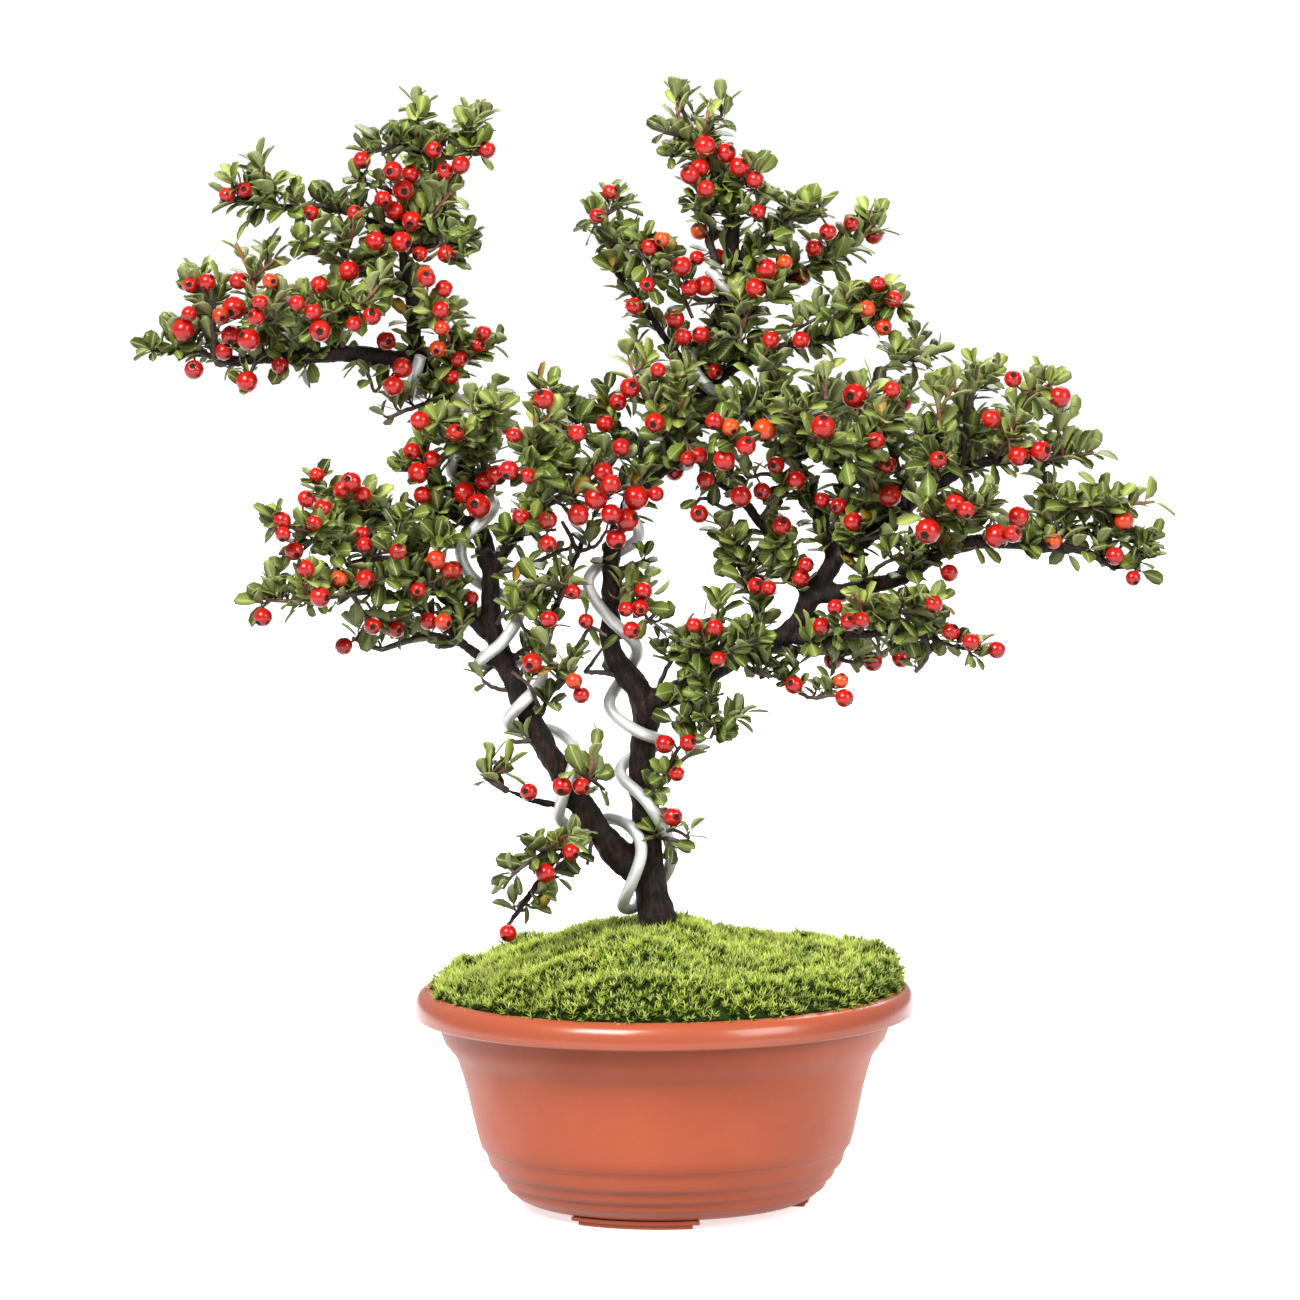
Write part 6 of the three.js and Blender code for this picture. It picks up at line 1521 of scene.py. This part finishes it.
def tube(corners, faces, line, sides, rng):
    """A closed limb with an uneven skin."""
    first = len(corners)
    normal = None
    phase = rng.uniform(0, 100)
    for i, (point, radius) in enumerate(line):
        before, after = line[max(i - 1, 0)][0], line[min(i + 1, len(line) - 1)][0]
        along = (after - before).normalized()
        normal = normal or Vector((0.31, 0.9, 0.24)).cross(along)
        normal = (normal - along * normal.dot(along)).normalized()
        side = along.cross(normal)
        for k in range(sides):
            angle = k / sides * math.tau
            out = normal * math.cos(angle) + side * math.sin(angle)
            swell = noise.noise((point + out * radius) * 0.16 + Vector((phase, 0, 0)))
            ridge = noise.noise(out * 1.6 + Vector((phase, 0, i * 0.05)))
            corners.append(point + out * radius * (1 + 0.14 * swell + 0.12 * ridge))
    for i in range(len(line) - 1):
        for k in range(sides):
            a, b = first + i * sides + k, first + i * sides + (k + 1) % sides
            faces.append((a, b, b + sides, a + sides))
    last = len(corners) - sides
    faces.append(tuple(range(first + sides - 1, first - 1, -1)))
    faces.append(tuple(range(last, last + sides)))


def make_wood():
    """Trunk and limbs, melted into one skin at their forks, with cracked bark."""
    rng = random.Random(settings().seed)
    corners, faces = [], []
    for line in limb_lines():
        tube(corners, faces, line, 14, rng)

    def melted(holder):
        melt = holder.modifiers.new("Melt", "REMESH")
        melt.mode = "VOXEL"
        melt.voxel_size = VOXEL * MM
        melt.use_smooth_shade = True
        ease = holder.modifiers.new("Ease", "SMOOTH")
        ease.factor = 0.5
        ease.iterations = 4

    mesh = with_modifiers("wood", mesh_of("wood", corners, faces), melted)
    mesh.update()
    normals = [vertex.normal.copy() for vertex in mesh.vertices]
    for vertex, normal in zip(mesh.vertices, normals):
        point = vertex.co / MM
        crack = noise.noise(Vector((point.x, point.y, point.z * 0.3)) * 0.9)
        knot = noise.noise(point * 0.22)
        vertex.co += normal * (CRACK_DEPTH * crack + KNOT_HEIGHT * knot) * MM
    mesh.shade_smooth()
    mesh.materials.clear()
    mesh.materials.append(bark_material())
    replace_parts(link("trunk_and_limbs", mesh), "wood")


def make_twigs():
    """Bare old twigs and the stems of all the leafy shoots."""
    paint = twig_material()
    old = by_nodes("old_twigs", line_mesh("old twigs", twig_lines()), stem_tree(), sides=8, material=paint)
    link("old_twigs", old)
    shoots = [*limb_spurs(), *(line for lines in sprays().values() for line in lines)]
    young = by_nodes("shoot_stems", line_mesh("shoots", shoots), stem_tree(), sides=5, material=paint)
    link("shoot_stems", young)


def leafy_mesh(name, lines, leaf, paint, seed):
    return by_nodes(name, line_mesh("leafy lines", lines), leaf_tree(), leaf=leaf, material=paint, seed=seed,
                    lift=LEAF_LIFT)


def make_leaves():
    """The leaves of each spray, and those on the old twigs and the limbs."""
    leaf = leaf_template()
    paint = leaf_material()
    for number, (name, lines) in enumerate(sprays().items()):
        mesh = leafy_mesh(f"leaves_{name}", lines, leaf, paint, number * 10 + 7)
        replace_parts(link(f"leaves_{name}", mesh), f"spray_{name}")
    on_limbs = leafy_mesh("leaves_on_limbs", limb_spurs(), leaf, paint, 3)
    link("leaves_on_limbs", on_limbs)
    bpy.data.objects.remove(leaf)


@functools.cache
def perches():
    """Places that berries can hang from, each a point and the wood's radius, and a tree that finds them
    by where they are seen."""
    places = [(point, radius) for line in limb_lines() for point, radius in line]
    for line in [*twig_lines(), *limb_spurs(), *(line for lines in sprays().values() for line in lines)]:
        places += [(point, thick / MM) for point, thick in zip(line["points"][1:], line["thickness"][1:])]
    tree = kdtree.KDTree(len(places))
    for i, (point, _) in enumerate(places):
        tree.insert(project(point).to_3d(), i)
    tree.balance()
    return places, tree


def overlaps(centre, radius, others):
    """Whether a berry would sink into another one or into wood by more than a little."""
    return any((centre - other).length < radius + reach - 0.4 for other, reach in others)


def seen_berries(rng):
    """The berries of the front, each a little in front of the twigs that it is seen against."""
    places, tree = perches()
    berries = []
    for u, v, size in BERRIES:
        radius = size * UNIT
        found = tree.find_n(Vector((u, v, 0)), NEAREST_PERCHES)
        near = [places[i] for _, i, _ in found]
        reach = max(BERRY_REACH, found[0][2] + 1)
        front = min(places[i][0].y for _, i, away in found if away < reach)
        depth = front - radius * rng.uniform(0.2, 1)
        centre = on_ray(u, v, depth)
        taken = [*(berry[:2] for berry in berries), *near]
        while overlaps(centre, radius, taken):
            depth -= 0.8
            centre = on_ray(u, v, depth)
        anchor = min(near, key=lambda spot: (spot[0] - centre).length - spot[1])[0]
        berries.append((centre, radius, anchor))
    return berries


def hidden_berries(rng, berries):
    """More berries on the far side, hung from the shoots behind the trunk."""
    behind = [point for point, thick in perches()[0] if point.y > 4 and thick < 1.5]
    rng.shuffle(behind)
    for anchor in behind[:HIDDEN_BERRIES]:
        radius = in_mm(settings().berry_radius) * rng.uniform(0.85, 1.1)
        out = (any_direction(rng) + Vector((0, 0.8, -0.2))).normalized()
        centre = anchor + out * (radius + 1.5)
        if not overlaps(centre, radius, [berry[:2] for berry in berries]):
            berries.append((centre, radius, anchor))


def make_berries():
    """The berries and the stalks that they hang from."""
    rng = random.Random(settings().seed + 2)
    berries = seen_berries(rng)
    hidden_berries(rng, berries)
    mesh = mesh_of("berries", [centre for centre, _, _ in berries], [])
    stars, stalks = [], []
    for centre, radius, anchor in berries:
        away = (centre - anchor).normalized()
        star = (away * 0.6 + any_direction(rng) * 0.95 + Vector((0, -0.25, -0.15))).normalized()
        stars.extend(star)
        foot = centre - star * radius * 0.9
        sag = (foot + anchor) / 2 + (centre - anchor).length * 0.12 * Vector((0, 0, -1))
        points = [anchor, sag, foot]
        stalks.append(grown(points, (0.4, 0.75), 1.0, 3.0, STALK_RADII))
    mesh.attributes.new("axis", "FLOAT_VECTOR", "POINT").data.foreach_set("vector", stars)
    mesh.attributes.new("size", "FLOAT", "POINT").data.foreach_set(
        "value", [radius * MM for _, radius, _ in berries])
    berry = berry_template()
    made = by_nodes("berries", mesh, berry_tree(), berry=berry, seed=11, material=berry_material())
    bpy.data.objects.remove(berry)
    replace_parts(link("berries", made), *(f"berries_{name}" for name in BUNCHES))
    stems = by_nodes("berry_stalks", line_mesh("stalks", stalks), stem_tree(), sides=5,
                     material=twig_material())
    link("berry_stalks", stems)


def make_wire():
    """The wire's route, pushed out of the wood wherever it would touch it."""
    radius = in_mm(settings().wire_radius)
    route = [point for point, _ in spline([place(p) for p in WIRE], 3.0)]
    wood = [(a, b) for line in limb_lines() for a, b in zip(line[::2], line[2::2])]
    for _ in range(5):
        for i, point in enumerate(route):
            for (a, ra), (b, rb) in wood:
                if abs(a.z - point.z) > WIRE_SEARCH or abs(a.x - point.x) > WIRE_SEARCH:
                    continue
                along = b - a
                share = min(1, max(0, (point - a).dot(along) / along.length_squared))
                nearest = a + along * share
                lack = radius + WIRE_CLEAR + blend(ra, rb, share) - (point - nearest).length
                if lack > 0:
                    point = point + (point - nearest).normalized() * lack
            route[i] = point
    for _ in range(2):
        route[1:-1] = [(a + b * 2 + c) / 4 for a, b, c in zip(route, route[1:], route[2:])]
    line = [point for point, _ in spline(route, 1.0)]
    edge = [line[0] - (line[1] - line[0]).normalized() * 0.4, *line,
            line[-1] + (line[-1] - line[-2]).normalized() * 0.4]
    end = radius * WIRE_END * MM
    thick = [end, *[radius * MM] * len(line), end]
    mesh = line_mesh("wire", [{"points": edge, "thickness": thick}])
    made = by_nodes("training_wire", mesh, stem_tree(), sides=16, material=wire_material())
    made.set_sharp_from_angle(angle=math.radians(50))
    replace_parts(link("training_wire", made), "wire")


def make_floor():
    """A pale floor, which is seen and mirrored but throws no light up into the leaves."""
    bm = bmesh.new()
    bmesh.ops.create_circle(bm, cap_ends=True, segments=96, radius=FLOOR_RADIUS)
    floor = in_scene("floor", finished(bm, "floor"))
    floor.data.materials.append(floor_material())
    floor.visible_diffuse = False


def make_light():
    """Soft light from all sides, with three large lamps."""
    world = bpy.data.worlds.new("Studio")
    bpy.context.scene.world = world
    world.use_nodes = True
    sky = world.node_tree.nodes["Background"].inputs
    sky["Color"].default_value = (1, 1, 1, 1)
    sky["Strength"].default_value = SKY_STRENGTH
    for name, spot, size, power in LAMPS:
        lamp = bpy.data.lights.new(name, "AREA")
        lamp.size = size
        lamp.energy = power
        light = in_scene(name, lamp)
        light.location = spot
        light.rotation_euler = (LAMP_TARGET - Vector(spot)).to_track_quat("-Z", "Y").to_euler()


def make_camera():
    """The camera at the photographer's eye."""
    lens = bpy.data.cameras.new("Camera")
    lens.lens = LENS
    lens.sensor_width = SENSOR
    lens.clip_end = FARTHEST
    camera = in_scene("Camera", lens)
    turn = Euler((math.radians(90) - LOOK_DOWN, 0, 0)).to_matrix() @ Matrix.Rotation(-ROLL, 3, "Z")
    camera.matrix_world = Matrix.Translation(EYE * MM) @ turn.to_4x4()
    bpy.context.scene.camera = camera
    bpy.context.scene.view_settings.view_transform = "Standard"


# Operators: one for each piece or group of like pieces, and one for the stage
class BONSAI_OT_pot(bpy.types.Operator):
    """Make the plastic pot with its rolled rim, stepped rings and three feet"""
    bl_idname = "bonsai.pot"
    bl_label = "Pot"

    def execute(self, context):
        make_pot()
        return {"FINISHED"}


class BONSAI_OT_soil(bpy.types.Operator):
    """Make the soil and its loose grains"""
    bl_idname = "bonsai.soil"
    bl_label = "Soil"

    def execute(self, context):
        make_soil()
        return {"FINISHED"}


class BONSAI_OT_moss(bpy.types.Operator):
    """Make the moss cushion and its tufts"""
    bl_idname = "bonsai.moss"
    bl_label = "Moss"

    def execute(self, context):
        make_moss()
        return {"FINISHED"}


class BONSAI_OT_wood(bpy.types.Operator):
    """Make the trunk, the limbs, the twigs and the stems of the shoots"""
    bl_idname = "bonsai.wood"
    bl_label = "Wood"

    def execute(self, context):
        make_wood()
        make_twigs()
        return {"FINISHED"}


class BONSAI_OT_wire(bpy.types.Operator):
    """Make the training wire"""
    bl_idname = "bonsai.wire"
    bl_label = "Wire"

    def execute(self, context):
        make_wire()
        return {"FINISHED"}


class BONSAI_OT_leaves(bpy.types.Operator):
    """Make the leaves of every spray"""
    bl_idname = "bonsai.leaves"
    bl_label = "Leaves"

    def execute(self, context):
        make_leaves()
        return {"FINISHED"}


class BONSAI_OT_berries(bpy.types.Operator):
    """Make the berries and their stalks"""
    bl_idname = "bonsai.berries"
    bl_label = "Berries"

    def execute(self, context):
        make_berries()
        return {"FINISHED"}


class BONSAI_OT_stage(bpy.types.Operator):
    """Make the floor, the light and the camera"""
    bl_idname = "bonsai.stage"
    bl_label = "Stage"

    def execute(self, context):
        make_floor()
        make_light()
        make_camera()
        return {"FINISHED"}


OPERATORS = (
    BONSAI_OT_stage, BONSAI_OT_pot, BONSAI_OT_soil, BONSAI_OT_moss, BONSAI_OT_wood, BONSAI_OT_wire,
    BONSAI_OT_leaves, BONSAI_OT_berries,
)


class BONSAI_PT_panel(bpy.types.Panel):
    """The settings and one button for each operator"""
    bl_idname = "BONSAI_PT_panel"
    bl_label = "Berry Bonsai"
    bl_space_type = "VIEW_3D"
    bl_region_type = "UI"
    bl_category = "Bonsai"

    def draw(self, context):
        for key in BonsaiSettings.__annotations__:
            self.layout.prop(context.scene.bonsai, key)
        for operator in OPERATORS:
            self.layout.operator(operator.bl_idname)


CLASSES = (BonsaiSettings, *OPERATORS, BONSAI_PT_panel)


def register():
    for cls in CLASSES:
        bpy.utils.register_class(cls)
    bpy.types.Scene.bonsai = PointerProperty(type=BonsaiSettings)


def unregister():
    del bpy.types.Scene.bonsai
    for cls in reversed(CLASSES):
        bpy.utils.unregister_class(cls)


def main():
    register()
    for operator in OPERATORS:
        group, name = operator.bl_idname.split(".")
        getattr(getattr(bpy.ops, group), name)()


if __name__ == "__main__":
    main()
